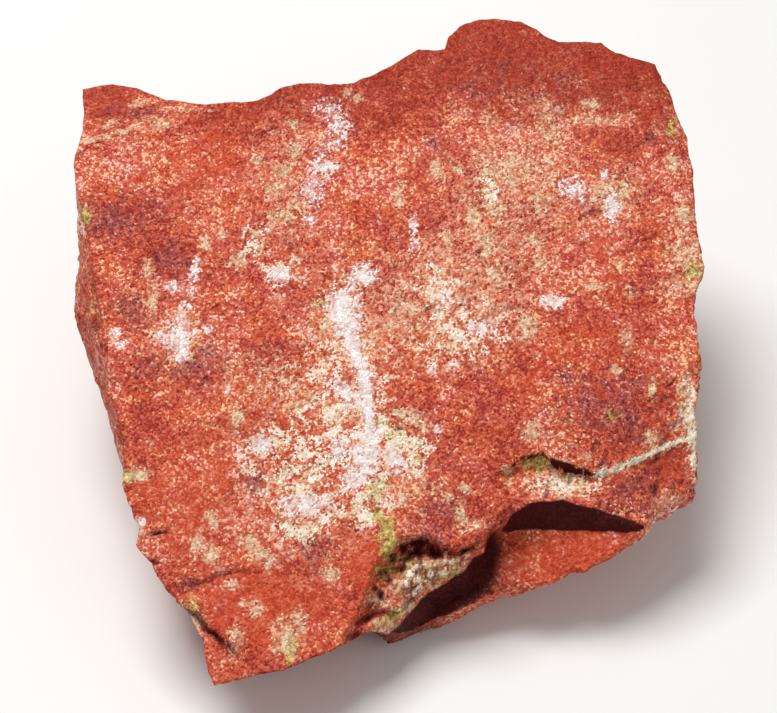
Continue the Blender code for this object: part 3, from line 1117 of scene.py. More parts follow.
@dataclass(frozen=True)
class Skirt:
    """The sides and the underside, swept round the stone below its rim.

    The groove is given by how deep it is at each place back, and by how far below the
    rim its middle is and half its width. Where the sides are quieter is given by places
    to the left, along the ledge and to the front.
    """

    face: BroadFace
    heart: Triple = (2.0, 5.0, 10.0)
    rows: int = 40
    sweep: int = 220
    crowd: float = 1.35
    strays: tuple[Stray, ...] = (
        Stray((-1.0, 0.0), (-38.0, 10.5), (14.0, 9.0), [(0.0, 0.0), (9.0, 3.2), (22.0, 1.0)]),
        Stray((1.0, 0.0), (40.0, 5.0), (10.0, 4.0), [(3.0, 0.0), (5.5, 0.9), (20.0, 0.3)]),
        Stray((0.0, -1.0), (0.0, 40.0), (50.0, 14.0), [(9.0, 0.0), (10.5, 2.2), (30.0, 4.5)]),
        Stray((0.1, 1.0), (-9.0, -38.0), (11.0, 8.0), [(0.0, 0.0), (12.0, 18.0)]),
        Stray((1.0, 0.2), (-34.0, -28.0), (12.0, 13.0), [(0.0, 0.0), (12.0, 6.0)]),
    )
    undersides: tuple[Underside, ...] = (
        Underside((-27.0, -27.0, 9.0), 203.0, 50.0),
        Underside((-41.0, 8.0, 15.0), 176.0, 52.0),
        Underside((-34.0, 30.0, 12.0), 130.0, 50.0),
        Underside((6.0, 42.0, 12.0), 86.0, 55.0),
        Underside((36.0, 36.0, 15.0), 40.0, 52.0),
        Underside((40.5, 2.0, 12.0), -6.0, 54.0),
        Underside((37.0, -16.6, 13.1), -44.0, 40.0),
        Underside((15.0, -23.6, 5.5), -45.0, 34.0),
        Underside((-12.3, -38.2, 7.4), -90.0, 45.0),
        Underside((2.0, -16.0, 0.0), -92.0, 10.5),
        Underside((21.0, 8.0, 0.0), -12.0, 24.0),
        Underside((17.0, 25.0, 0.0), 48.0, 27.0),
        Underside((-2.0, 30.0, 0.0), 98.0, 22.0),
        Underside((-19.0, 12.0, 0.0), 172.0, 25.0),
        Underside((-15.0, -8.0, 0.0), 224.0, 13.0),
    )
    groove: Points = (
        (-16.0, 0.0), (-12.0, 1.3), (-7.0, 1.1), (-2.0, 0.5), (8.0, 0.35), (17.0, 0.5), (22.0, 0.0),
    )
    groove_at: Pair = (1.0, 0.9)
    groove_start: Pair = (0.0, 0.5)
    left_side: float = -20.0
    tries: int = 8
    lump: float = 0.55
    swell: Swell = Swell(0.6, 15.0)
    waves: Swell = Swell(0.35, 6.0, 3)
    breaks: tuple[Facets, ...] = (Facets(1.0, 13.0), Facets(0.75, 6.0), Facets(0.32, 2.6))
    grit: Swell = Swell(0.10, 1.6, 2, 0.7)
    sink: float = 0.55
    quiet: float = 0.55
    quiet_left: Pair = (24.0, 34.0)
    quiet_ledge: Pair = (-4.0, 2.0)
    quiet_front: Pair = (16.0, 22.0)
    ease_rim: Pair = (0.0, 3.5)
    ease_foot: Pair = (0.0, 3.0)
    seed: int = 71

    def side(self, rim: np.ndarray, height: np.ndarray) -> np.ndarray:
        """How far from the heart's upright the side is at each height.

        Formula: the rim's own distance and, for each stray, how near the rim is to it
        (a bell both ways) times how far it has gone since the rim.

        Args:
            rim: places of the rim in plan and height.
            height: heights asked for, a row for each rim place.

        Returns:
            Distances, a row for each rim place.
        """
        outward, reach = self.spokes(rim)
        over = self.face.over(rim)
        total = np.broadcast_to(reach[:, None], height.shape).copy()
        for stray in self.strays:
            off = (rim[:, :2] - np.array(stray.middle)) / np.array(stray.reach)
            near = np.exp(-(off**2).sum(1)) * (outward @ np.array(stray.way))
            depths, gone = np.array(stray.stops).T
            far = np.interp(over[:, None] - height, depths, gone)
            far -= np.interp(over - rim[:, 2], depths, gone)[:, None]
            total += near[:, None] * far
        return total

    def spokes(self, rim: np.ndarray) -> tuple[np.ndarray, np.ndarray]:
        """Directions in plan from the heart to the rim, and how far the rim is.

        Args:
            rim: places of the rim in plan and height.

        Returns:
            The directions and the distances.
        """
        away = rim[:, :2] - np.array(self.heart[:2])
        reach = np.hypot(away[:, 0], away[:, 1])
        return away / reach[:, None], reach

    def foot(self, rim: np.ndarray) -> np.ndarray:
        """How far the stone reaches on the floor: the least of the side and the planes.

        Args:
            rim: places of the rim in plan and height.

        Returns:
            A distance for each rim place.
        """
        outward, _ = self.spokes(rim)
        ground = np.array([*self.heart[:2], 0.0])
        reach = self.side(rim, np.zeros((len(rim), 1)))[:, 0]
        for under in self.undersides:
            normal = under.facing()
            lean = outward @ normal[:2]
            room = (np.array(under.place) - ground) @ normal
            reach = np.minimum(reach, np.where(lean > SMALL, room / np.maximum(lean, SMALL), np.inf))
        return reach

    def sweep_down(self, rim: np.ndarray) -> tuple[np.ndarray, np.ndarray]:
        """The bare profiles, from the rim to the floor.

        Formula: rays fan out of the heart from the rim down to the foot, and each stops
        at the nearest of the side, found by trying again from its last height, and the
        planes of the underside.

        Args:
            rim: places of the rim in plan and height.

        Returns:
            Distances from the heart's upright and heights, a row for each rim place.
        """
        outward, reach = self.spokes(rim)
        top = np.arctan2(rim[:, 2] - self.heart[2], reach)
        low = -np.arctan2(self.heart[2], self.foot(rim))
        share = np.linspace(0.0, 1.0, self.sweep)
        angle = top[:, None] + (low - top)[:, None] * share
        level, drop = np.cos(angle), np.sin(angle)
        far = reach[:, None] / level
        for _ in range(self.tries):
            far = self.side(rim, self.heart[2] + far * drop) / level
        for under in self.undersides:
            normal = under.facing()
            lean = level * (outward @ normal[:2])[:, None] + drop * normal[2]
            room = (np.array(under.place) - np.array(self.heart)) @ normal
            far = np.minimum(far, np.where(lean > SMALL, room / np.maximum(lean, SMALL), np.inf))
        return far * level, self.heart[2] + far * drop

    def profiles(self, rim: np.ndarray) -> tuple[np.ndarray, np.ndarray]:
        """The sides and the underside as a net of places, rough but still under the rim.

        Formula: each bare profile is shared out by its length, more closely near the
        rim, and every place is then moved along its outward direction by the relief.

        Args:
            rim: places of the rim in plan and height.

        Returns:
            Places, by rim place and row, and how far each lies from the rim.
        """
        reach, height = self.sweep_down(rim)
        step = np.hypot(np.diff(reach, axis=1), np.diff(height, axis=1))
        length = np.concatenate([np.zeros((len(rim), 1)), np.cumsum(step, axis=1)], axis=1)
        whole = length[:, -1:]
        shares = (np.arange(self.rows + 1) / self.rows) ** self.crowd
        lane = 2.0 * np.arange(len(rim))[:, None]
        known = (length / whole + lane).ravel()
        wanted = (shares[None, :] + lane).ravel()
        reach = np.interp(wanted, known, reach.ravel()).reshape(len(rim), -1)
        height = np.interp(wanted, known, height.ravel()).reshape(len(rim), -1)
        outward, _ = self.spokes(rim)
        plan = np.array(self.heart[:2]) + reach[..., None] * outward[:, None, :]
        bare = np.concatenate([plan, height[..., None]], -1)
        return self.roughened(bare, shares * whole), shares * whole

    def grooved(self, x: np.ndarray, y: np.ndarray, below: np.ndarray) -> np.ndarray:
        """Depth of the groove under the left rim: by how far back it is, and a bell downwards.

        Args:
            x: how far right the places are.
            y: how far back they are.
            below: how far below the rim they are.

        Returns:
            The depth at every place.
        """
        where, deep = np.array(self.groove).T
        middle, wide = self.groove_at
        depth = np.interp(y, where, deep) * (x < self.left_side)
        return depth * np.exp(-(((below - middle) / wide) ** 2))

    def roughened(self, bare: np.ndarray, below: np.ndarray) -> np.ndarray:
        """The net with its relief, which eases to nothing at the rim and at the foot.

        Formula: swells, waves, facets of three sizes and grit, less the sink, all of it
        quieter on the left and under the ledge, and the groove under the left rim.

        Args:
            bare: the net's places, by rim place and row.
            below: how far below the rim each is.

        Returns:
            The places once they are roughened.
        """
        down = np.gradient(bare, axis=1)
        round_it = np.roll(bare, -1, axis=0) - np.roll(bare, 1, axis=0)
        out = np.cross(down, round_it)
        out /= np.linalg.norm(out, axis=-1, keepdims=True) + TINY
        flat = bare.reshape(-1, 3)
        relief = self.lump * (self.swell.at(flat, self.seed) + self.waves.at(flat, self.seed + 1))
        for turn, facets in enumerate(self.breaks):
            relief += facets.at(flat, self.seed + 2 + turn)
        relief += self.grit.at(flat, self.seed + 9)
        x, y = bare[:, :1, 0], bare[:, :1, 1]
        under_ledge = smoothstep(*self.quiet_ledge, x) * smoothstep(*self.quiet_front, -y)
        quiet = 1.0 - self.quiet * np.maximum(smoothstep(*self.quiet_left, -x), under_ledge)
        relief = (relief.reshape(below.shape) - self.sink) * quiet
        ease = smoothstep(*self.ease_rim, below) * smoothstep(*self.ease_foot, bare[..., 2])
        groove = self.grooved(x, y, below) * smoothstep(*self.groove_start, below)
        return bare + out * (relief * ease - groove)[..., None]


# Marks of other tones


def spots(*rows: tuple[float, ...]) -> list[Patch]:
    """Patches from rows of (right, up, across, tall, strength, turn), the last two optional."""
    return [Patch(*row) for row in rows]


MARKS: dict[Tone, list[Patch | Streak]] = {
    Tone.WHITE: spots(
        (-5.9, 6.6, 1.3, 1.9, 1.25), (-5.2, 4.4, 1.2, 1.2, 1.25), (-3.2, 11.1, 1.3, 0.9, 1.1),
        (-3.0, 12.5, 0.5, 0.5, 0.8), (-5.6, -4.9, 1.5, 0.8, 1.0, -45.0), (-2.2, -12.1, 0.9, 1.6),
        (-3.9, -13.3, 0.5, 1.5), (-4.3, -16.4, 1.0, 1.0), (0.8, -13.9, 0.9, 1.0),
        (-6.2, -12.6, 0.9, 1.0), (-8.7, 26.8, 1.3, 0.6), (-6.7, 32.7, 1.3, 0.9, 0.54),
        (-7.8, 35.5, 1.6, 1.0, 0.46), (-10.1, 23.2, 0.8, 1.6, 0.62), (-10.2, 19.1, 0.6, 0.6, 0.7),
        (-14.0, 10.9, 1.0, 0.8, 1.1), (-24.7, 11.5, 0.5, 1.0, 0.66), (-27.6, 8.9, 0.8, 0.5, 0.9),
        (-26.4, 2.0, 1.1, 1.6, 0.95), (-28.5, 1.6, 1.0, 0.6, 0.8), (-26.0, -0.3, 0.5, 0.8),
        (-22.8, 3.0, 0.4, 0.4), (-34.4, 2.3, 0.5, 0.4, 0.7), (-33.6, 0.7, 0.5, 0.4, 0.7),
        (24.3, 24.7, 1.2, 1.2, 0.62), (29.5, 22.4, 0.7, 1.4, 1.1), (28.7, 27.0, 0.5, 0.5, 0.7),
        (7.3, 8.8, 0.8, 0.7, 0.6), (11.6, 4.1, 1.8, 0.8, 0.55, 20.0), (21.2, 8.3, 1.2, 0.6),
        (3.2, 15.7, 0.5, 0.9, 0.6), (3.3, 18.6, 0.4, 1.2, 0.6), (5.5, -1.6, 0.4, 0.8, 0.6),
        (8.5, -0.8, 0.6, 0.5, 0.5), (6.2, -9.7, 0.4, 0.4, 0.6), (-20.4, -5.0, 0.4, 0.4, 0.6),
        (-30.2, -22.8, 0.4, 0.4), (-15.8, -12.3, 1.1, 0.8, 0.85), (-10.2, -20.0, 2.0, 1.1, 0.8),
    ) + [
        Streak([(-5.2, 3.2), (-4.2, 0.2), (-3.0, -2.6), (-2.7, -6.0), (-2.3, -8.6)], 0.55, 1.25),
        Streak([(-2.1, -9.8), (-2.0, -12.6), (-2.6, -15.2)], 0.7, 1.15),
        Streak([(-6.6, -4.2), (-5.2, -5.4), (-3.4, -5.6)], 0.4, 0.8),
        Streak([(-7.8, 35.5), (-6.5, 32.7), (-8.7, 26.8), (-10.1, 22.5)], 1.3, 0.28),
        Streak([(-26.5, 3.6), (-25.6, 7.0), (-24.6, 11.5)], 0.8, 0.2),
    ],
    Tone.CREAM: spots(
        (-5.5, 38.0, 0.5, 0.5), (-4.3, 37.2, 0.5, 0.5), (-12.0, 21.4, 0.9, 0.9),
        (-12.1, 29.0, 0.6, 1.8), (-12.6, 32.8, 0.6, 0.6), (-17.0, 27.6, 0.6, 0.6),
        (-14.0, 25.8, 1.0, 1.0), (-14.6, 23.4, 1.0, 1.0), (-13.8, 19.4, 1.2, 1.0),
        (-17.0, 16.5, 0.8, 0.8), (-16.8, 14.8, 0.5, 1.0), (-21.6, 16.6, 0.5, 0.5),
        (-23.6, 15.1, 0.4, 0.8), (-19.4, 12.8, 1.0, 0.9), (-30.9, 11.0, 0.5, 1.0),
        (-30.0, 6.9, 0.5, 1.3), (-33.0, 35.3, 0.9, 0.35, 0.85, 20.0),
        (-36.5, 32.3, 0.9, 0.5, 0.7, 30.0), (-30.3, 32.3, 1.7, 0.7, 0.75), (-26.8, 34.7, 2.2, 0.3, 0.8),
        (18.2, 27.8, 4.5, 2.4, 0.52), (16.0, 26.7, 2.0, 1.6, 0.75), (21.6, 33.2, 1.5, 3.0, 0.6),
        (27.8, 35.0, 2.2, 0.6, 0.8), (27.2, 37.6, 0.9, 0.6), (31.9, 35.8, 0.8, 0.6, 0.7),
        (13.4, 34.6, 1.0, 1.0, 0.5), (31.0, 24.5, 1.2, 1.8, 0.75), (13.4, 26.5, 1.0, 1.2),
        (13.2, 24.0, 0.9, 1.4), (14.0, 21.3, 1.0, 1.2), (11.0, 20.2, 0.8, 1.5), (12.7, 16.2, 1.0, 1.5),
        (7.8, 16.8, 0.8, 0.8), (1.4, 22.5, 0.6, 1.2), (6.4, 26.9, 0.8, 0.8), (8.8, 27.0, 0.6, 0.6),
        (19.7, 23.2, 0.7, 0.7), (18.8, 17.0, 0.8, 0.8), (19.6, 13.6, 0.6, 1.2), (13.7, 12.2, 1.4, 1.4),
        (38.6, 15.6, 1.8, 2.8, 0.55), (38.0, 11.2, 2.2, 1.0, 0.6), (38.0, 29.0, 0.7, 1.0),
        (38.8, 21.5, 1.0, 1.5), (30.2, 13.6, 0.6, 0.6, 0.7), (31.5, 10.0, 0.6, 0.6, 0.7),
        (26.7, 10.6, 1.5, 0.4, 0.7), (30.5, 3.3, 0.6, 1.0), (33.5, -3.2, 0.4, 1.3),
        (28.9, -1.1, 0.5, 0.5), (33.2, -10.2, 0.8, 0.8), (17.9, 4.8, 1.0, 1.3),
        (8.4, 1.7, 2.5, 1.0, 0.8), (18.0, -9.8, 1.1, 1.0, 0.7), (24.8, -12.8, 0.6, 0.5, 0.7),
        (1.2, -7.8, 0.8, 0.8), (3.5, -8.5, 0.8, 0.8), (4.4, -9.6, 0.8, 0.5), (-6.8, -8.0, 1.2, 1.0),
        (-9.8, -5.4, 0.4, 0.4), (-9.0, -6.6, 0.4, 0.4), (-8.0, -6.8, 0.4, 0.4), (-1.4, -18.0, 1.0, 1.5),
        (1.7, -19.2, 0.6, 0.6), (-3.6, -19.8, 0.45, 1.8, 1.0, -30.0), (-15.8, -12.3, 1.5, 1.1),
        (-14.0, -11.7, 0.5, 0.5), (-11.4, -7.0, 0.7, 0.7), (-9.8, -6.0, 0.6, 0.6),
        (-19.0, -8.5, 0.8, 1.2), (-12.7, -16.0, 0.7, 0.7), (-9.5, -16.4, 1.0, 1.5),
        (-10.2, -20.0, 2.4, 1.4), (-12.8, -22.6, 0.6, 0.6), (-9.0, -22.7, 0.7, 1.2),
        (-11.2, -23.9, 1.5, 0.6), (-6.1, -21.2, 0.9, 0.5), (-21.6, -22.6, 0.5, 0.9),
        (-23.3, -25.2, 0.5, 1.0), (-21.4, -26.7, 0.8, 0.8, 0.7), (-14.6, -27.3, 0.6, 0.6),
        (-19.0, -30.4, 0.8, 0.4), (-17.0, -32.7, 0.6, 0.6), (-15.8, -33.5, 0.6, 0.6),
        (-18.2, -37.4, 0.7, 1.2), (-12.2, -37.0, 1.1, 1.8), (-10.8, -34.8, 0.6, 1.2),
        (-31.0, -16.6, 1.2, 0.7), (-30.7, -23.9, 0.6, 0.6), (-7.0, -28.8, 0.6, 1.0),
        (9.1, -21.3, 0.6, 1.2), (10.9, -22.3, 0.6, 0.6), (9.4, -17.5, 0.5, 0.5), (7.3, -18.7, 0.4, 0.4),
        (38.2, -8.2, 0.9, 4.5, 0.9, 3.0), (38.6, -12.6, 0.8, 1.6), (37.2, -7.3, 1.3, 1.5, 0.6),
        (-23.4, -34.5, 0.6, 1.4, 1.0, 40.0), (14.7, -15.0, 0.5, 0.5), (15.0, -16.6, 0.3, 0.6),
        (21.8, -16.8, 3.0, 1.0), (23.9, -16.5, 0.5, 0.5), (1.4, -30.2, 0.9, 0.9),
        (3.4, -29.0, 0.8, 0.8), (5.0, -27.7, 0.8, 0.8), (6.5, -27.4, 0.7, 0.7), (5.0, -29.8, 0.6, 0.6),
        (-1.4, -31.8, 1.0, 0.7), (2.5, -32.5, 0.9, 0.6), (-0.6, -35.2, 1.0, 0.6),
        (-5.7, 5.5, 2.4, 3.6, 0.8), (-3.0, -6.0, 1.3, 3.4, 0.7), (-3.4, -13.5, 2.4, 2.6, 0.8),
        (29.0, 24.0, 2.0, 2.4, 0.7), (-26.8, 2.0, 2.2, 2.4, 0.5), (-8.0, -11.0, 7.0, 5.0, 0.22, 20.0),
        (-2.6, -12.0, 4.0, 4.5, 0.3), (8.0, 5.0, 6.5, 5.0, 0.26), (-14.0, -4.0, 5.0, 3.0, 0.3, -20.0),
        (1.0, -14.0, 2.5, 2.2, 0.55),
    ) + [
        Streak([(25.9, -15.2), (28.6, -14.3), (31.7, -12.9), (33.7, -11.8), (36.3, -10.6)], 0.5, 0.7),
        Streak([(37.6, -2.0), (38.1, -6.0), (38.5, -8.2), (38.6, -10.8), (38.5, -12.7)], 0.55, 0.9),
        Streak([(-40.9, 29.2), (-37.9, 29.8), (-36.0, 30.6), (-32.8, 31.8)], 0.25, 0.75),
        Streak([(-3.4, -21.7), (-4.5, -19.3)], 0.3),
        Streak([(-17.1, -24.9), (-15.9, -26.2), (-14.8, -27.0)], 0.75),
    ],
    Tone.CRUMB: spots(
        (-9.0, -13.0, 6.5, 4.5, 0.48, 20.0), (-2.4, -12.5, 3.2, 4.5, 0.70),
        (2.6, -13.0, 2.6, 3.0, 0.56), (-9.8, -20.0, 3.0, 2.0, 0.60), (-15.8, -12.3, 1.8, 1.4, 0.60),
        (-7.0, -8.0, 2.0, 1.4, 0.60), (-11.2, -23.6, 2.4, 1.0, 0.50), (-5.5, -3.0, 4.5, 4.5, 0.30),
        (-14.0, 11.0, 2.2, 2.0, 0.40), (9.0, 4.5, 5.0, 3.5, 0.34), (21.2, 8.3, 1.0, 0.6, 0.80),
        (-3.0, -18.5, 2.6, 2.6, 0.55), (13.3, 25.0, 1.0, 2.2, 0.50), (-17.0, 15.5, 1.4, 2.0, 0.40),
        (6.0, 9.5, 3.0, 3.0, 0.28), (21.6, -16.6, 2.6, 0.9, 0.62), (38.4, -8.6, 0.8, 4.0, 0.80, 3.0),
    ) + [
        Streak([(25.9, -15.2), (28.6, -14.3), (31.7, -12.9), (33.7, -11.8), (36.3, -10.6), (38.6, -9.9)],
               0.24, 1.3),
    ],
    Tone.OLIVE: spots(
        (-8.2, 7.1, 0.8, 0.5), (0.6, -10.6, 1.3, 1.0), (-1.0, -9.0, 0.8, 0.8), (3.3, -11.6, 0.8, 0.8),
        (3.5, -14.1, 0.6, 0.6), (-1.4, -21.2, 0.8, 0.8), (0.0, -24.0, 0.9, 2.2),
        (-6.3, -13.8, 0.6, 0.6), (-1.4, -17.7, 1.2, 1.2), (39.7, 13.2, 1.2, 1.3),
        (38.0, 34.0, 0.5, 1.5, 0.7), (-32.2, -16.7, 0.8, 0.8), (-39.2, 18.5, 0.6, 1.0),
        (28.3, -7.2, 1.2, 1.0, 0.45), (18.4, -13.9, 1.6, 0.9), (22.0, -15.6, 1.2, 0.4),
        (23.9, -16.5, 0.5, 0.5), (6.5, -28.8, 0.6, 0.6), (8.0, -28.2, 0.6, 0.6),
        (-11.7, -38.2, 0.8, 1.3), (-23.5, -33.0, 0.5, 0.8), (3.0, -28.0, 3.0, 1.6, 0.7),
        (-0.6, -28.6, 0.9, 1.2, 0.7), (33.1, -12.2, 0.5, 0.4), (0.6, -35.0, 0.9, 0.6, 0.8),
    ) + [
        Streak([(-1.4, -20.9), (-0.6, -21.9), (0.1, -22.9), (0.1, -24.2), (0.1, -25.5)], 0.6),
        Streak([(-1.2, -35.8), (-0.2, -34.3), (0.6, -33.8), (1.3, -33.2)], 0.6, 0.8),
    ],
    Tone.MAROON: spots(
        (-35.5, 18.6, 3.8, 2.2), (-32.0, 17.7, 0.4, 1.2), (-28.0, 13.0, 2.5, 1.8),
        (-32.6, 5.5, 1.8, 1.8), (-30.8, -2.5, 1.5, 1.5), (-24.0, -2.3, 2.5, 2.2),
        (-16.2, -17.6, 1.2, 1.6), (-9.0, -25.8, 1.5, 2.0), (-36.5, 34.2, 1.6, 0.5, 1.0, 20.0),
        (-32.3, 34.2, 1.8, 0.9), (27.9, -6.5, 5.0, 5.0, 0.75), (31.5, -10.3, 1.5, 0.7),
        (6.5, -21.0, 3.0, 2.5, 0.8), (5.8, 6.9, 1.2, 1.2), (6.3, 31.0, 1.0, 1.0, 0.7),
        (26.6, 22.3, 1.2, 1.2, 0.8), (35.0, 32.7, 0.7, 0.7), (32.0, -16.5, 4.5, 3.0, 0.7),
        (-24.0, -30.6, 1.2, 0.6), (18.0, 40.0, 8.0, 4.0, 0.28),
    ),
    Tone.PALE: spots(
        (13.2, 6.3, 3.0, 2.0), (2.3, 6.0, 2.5, 2.0), (1.0, 4.4, 2.5, 2.0), (8.0, 9.0, 7.0, 6.0, 0.85),
        (-10.0, -18.0, 6.0, 7.0, 0.5), (-13.0, 23.0, 4.0, 9.0, 0.38), (17.0, 24.0, 7.0, 6.0, 0.6),
        (-4.0, 2.0, 4.0, 6.0, 0.7), (34.8, -18.2, 1.2, 1.2), (14.0, 16.0, 5.0, 5.0, 0.6),
        (30.0, 24.0, 3.5, 4.0, 0.5), (-3.0, -12.0, 5.0, 6.0, 0.4),
    ),
    # Calmer, darker grain on the top left corner, partly painted shade
    Tone.CALM_AND_DIM: spots((-37.6, 33.2, 3.2, 1.9, 0.9, 18.0), (-33.5, 34.0, 3.0, 1.2, 0.7, 10.0)),
    Tone.RED: spots(
        (-23.5, 30.6, 1.5, 1.0), (-32.2, 24.3, 0.8, 0.8), (28.7, 12.0, 1.2, 0.6),
        (28.0, 16.5, 2.0, 2.0, 0.7), (-20.5, -16.0, 2.0, 2.0), (-2.4, -27.2, 3.2, 4.2),
        (-24.0, -20.0, 7.0, 7.0, 0.7), (-14.0, -33.0, 9.0, 5.0, 0.8), (-24.0, 26.0, 5.0, 5.0, 0.6),
        (24.0, -1.0, 9.0, 7.0, 0.55), (-8.0, -14.0, 9.0, 8.0, 0.75), (26.0, -26.0, 12.0, 4.0, 0.9),
        (34.0, -14.0, 5.0, 6.0, 0.8),
    ),
}


# The whole skin


@dataclass(frozen=True)
class Skin:
    """The closed skin: places in millimetres, faces, and a mask for each tone."""

    places: np.ndarray
    quads: np.ndarray
    fan: np.ndarray
    masks: dict[Tone, np.ndarray]


@dataclass
class Stone:
    """The stone: its top, its sides and underside, and its marks, as one closed skin.

    Marks fade out over a depth below the rim, and veins of every tone start there.
    """

    face: BroadFace = BroadFace()
    top: Top = Top()
    cells: int = 240
    crust: float = 0.8
    middle_depth: float = 30.0
    shaded_foot: Stops = (-3.5, -0.5, 4.0, 13.0)
    shaded_front: float = -20.0
    foot_shade: float = 0.6
    mark_fade: float = 2.5
    vein_start: float = 2.0
    veins: Swell = Swell(1.0, 9.0, 3, 0.6)
    vein_span: Pair = (0.4, 1.5)
    vein_strength: float = 0.6
    cream_in_pale: float = 0.26
    dim_top_from: Pair = (26.0, 46.0)
    vein_seeds: tuple[int, int] = (200, 7)

    def skin(self) -> Skin:
        """Work out the whole skin from its parts.

        Returns:
            The skin.
        """
        rim = Rim(self.face)
        lattice = Lattice(rim, self.cells)
        right, up = lattice.spread()
        relief = self.top.relief(self.face, right, up)
        places = self.face.place(right, up, relief.level)
        loop = lattice.loop()
        skirt = Skirt(self.face)
        around, below = skirt.profiles(places[loop])
        rows, count = skirt.rows, len(loop)
        lower = around[:, 1:].transpose(1, 0, 2).reshape(-1, 3)
        middle = np.array([[*skirt.heart[:2], 0.0]])
        net = np.concatenate([loop[None, :], len(places) + np.arange(rows * count).reshape(rows, count)])
        here, beside = net, np.roll(net, -1, axis=1)
        walls = np.stack([here[1:], beside[1:], beside[:-1], here[:-1]], -1).reshape(-1, 4)
        hub = np.full(count, len(places) + rows * count)
        fan = np.stack([hub, beside[-1], here[-1]], -1)
        everywhere = np.concatenate([places, lower, middle])
        depth = np.concatenate([np.zeros(len(places)), below[:, 1:].T.ravel(), [self.middle_depth]])
        bare = np.zeros(len(lower) + 1)
        # Painted shade, with some soiling, over the top and the sides
        shade_and_soiling_mask = np.concatenate([relief.shade_and_soiling, self.side_shade(lower, below[:, 1:].T.ravel(), skirt), [0.0]])
        masks = self.masks(everywhere, depth, shade_and_soiling_mask)
        masks[Tone.SHADOW] = np.concatenate([relief.shadow, bare])
        for tone in (Tone.CREAM, Tone.CRUMB):
            masks[tone] = np.maximum(masks[tone], np.concatenate([self.crust * relief.crystals, bare]))
        return Skin(everywhere, np.concatenate([lattice.quads(), walls]), fan, masks)

    def side_shade(self, lower: np.ndarray, below: np.ndarray, skirt: Skirt) -> np.ndarray:
        """Painted shade on the sides: in the groove under the left rim, and under the strip.

        Args:
            lower: places of the sides and the underside.
            below: how far below the rim each is.
            skirt: the sides, which know the groove.

        Returns:
            Painted shade at each place.
        """
        # Painted shade in the groove under the left rim, and under the strip at the front foot
        groove = np.clip(skirt.grooved(lower[:, 0], lower[:, 1], below), 0.0, 1.0)
        foot = window(self.shaded_foot, lower[:, 0]) * (lower[:, 1] < self.shaded_front)
        return np.maximum(groove, self.foot_shade * foot)

    def masks(self, places: np.ndarray, depth: np.ndarray, shade_and_soiling_mask: np.ndarray) -> dict[Tone, np.ndarray]:
        """How much of each tone every place has.

        Formula: the strongest of the tone's patches at the place as seen on the broad
        face, which fades down the sides, where slow clouds take over.

        Args:
            places: every place of the skin.
            depth: how far each lies below the rim.
            shade_and_soiling_mask: painted shade, with some soiling, at each.

        Returns:
            A mask for each tone, from 0 to 1.
        """
        seen = self.face.seen(places)
        right, up = seen[:, 0], seen[:, 1]
        fade = np.exp(-depth / self.mark_fade)
        sides = 1.0 - np.exp(-depth / self.vein_start)
        first_seed, seed_step = self.vein_seeds
        masks = {}
        for order, (tone, patches) in enumerate(MARKS.items()):
            mask = np.zeros(len(places))
            for patch in patches:
                mask = np.maximum(mask, patch.mask(right, up))
            veins = smoothstep(*self.vein_span, self.veins.at(places, first_seed + seed_step * order))
            masks[tone] = np.maximum(mask * fade, sides * veins * self.vein_strength)
        masks[Tone.CREAM] = np.maximum(masks[Tone.CREAM], self.cream_in_pale * masks[Tone.PALE])
        # The painted shade and soiling mask
        masks[Tone.DARK] = shade_and_soiling_mask
        # Painted shade: calmer, darker grain towards the back of the top, where the light falls off
        masks[Tone.CALM_AND_DIM] = np.maximum(masks[Tone.CALM_AND_DIM], smoothstep(*self.dim_top_from, up) * fade)
        return masks

    def build(self) -> bpy.types.Object:
        """Make the skin's mesh, with an attribute for each tone.

        The few bumps that would stand out of the solid's box are held to it.

        Returns:
            The skin as an object at the origin.
        """
        skin = self.skin()
        mesh = bpy.data.meshes.new(SKIN)
        places = np.clip((skin.places + STANCE) * MM, *CAD_BOX)
        quads, fan = len(skin.quads), len(skin.fan)
        mesh.vertices.add(len(places))
        mesh.vertices.foreach_set("co", places.astype(np.float32).ravel())
        mesh.loops.add(4 * quads + 3 * fan)
        corners = np.concatenate([skin.quads.ravel(), skin.fan.ravel()])
        mesh.loops.foreach_set("vertex_index", corners.astype(np.int32))
        mesh.polygons.add(quads + fan)
        starts = np.concatenate([4 * np.arange(quads), 4 * quads + 3 * np.arange(fan)])
        mesh.polygons.foreach_set("loop_start", starts.astype(np.int32))
        mesh.polygons.foreach_set("use_smooth", np.arange(quads + fan) < quads)
        mesh.update(calc_edges=True)
        for tone, mask in skin.masks.items():
            layer = mesh.attributes.new(tone.value, "FLOAT", "POINT")
            layer.data.foreach_set("value", mask.astype(np.float32))
        mesh.validate()
        stone = stand(SKIN, mesh)
        LOG.info("%s: %d places, %d faces", SKIN, len(places), quads + fan)
        return stone


# Finishes

Feed = bpy.types.NodeSocket | float | tuple[float, ...]
Feeds = dict[str | int, Feed]


# Detail and roughness of the clouds that break a patch up, and the amounts between which it starts
RAGGED_DETAIL = 4.0
RAGGED_ROUGH = 0.68
RAGGED_NEAR = (0.01, 0.16)


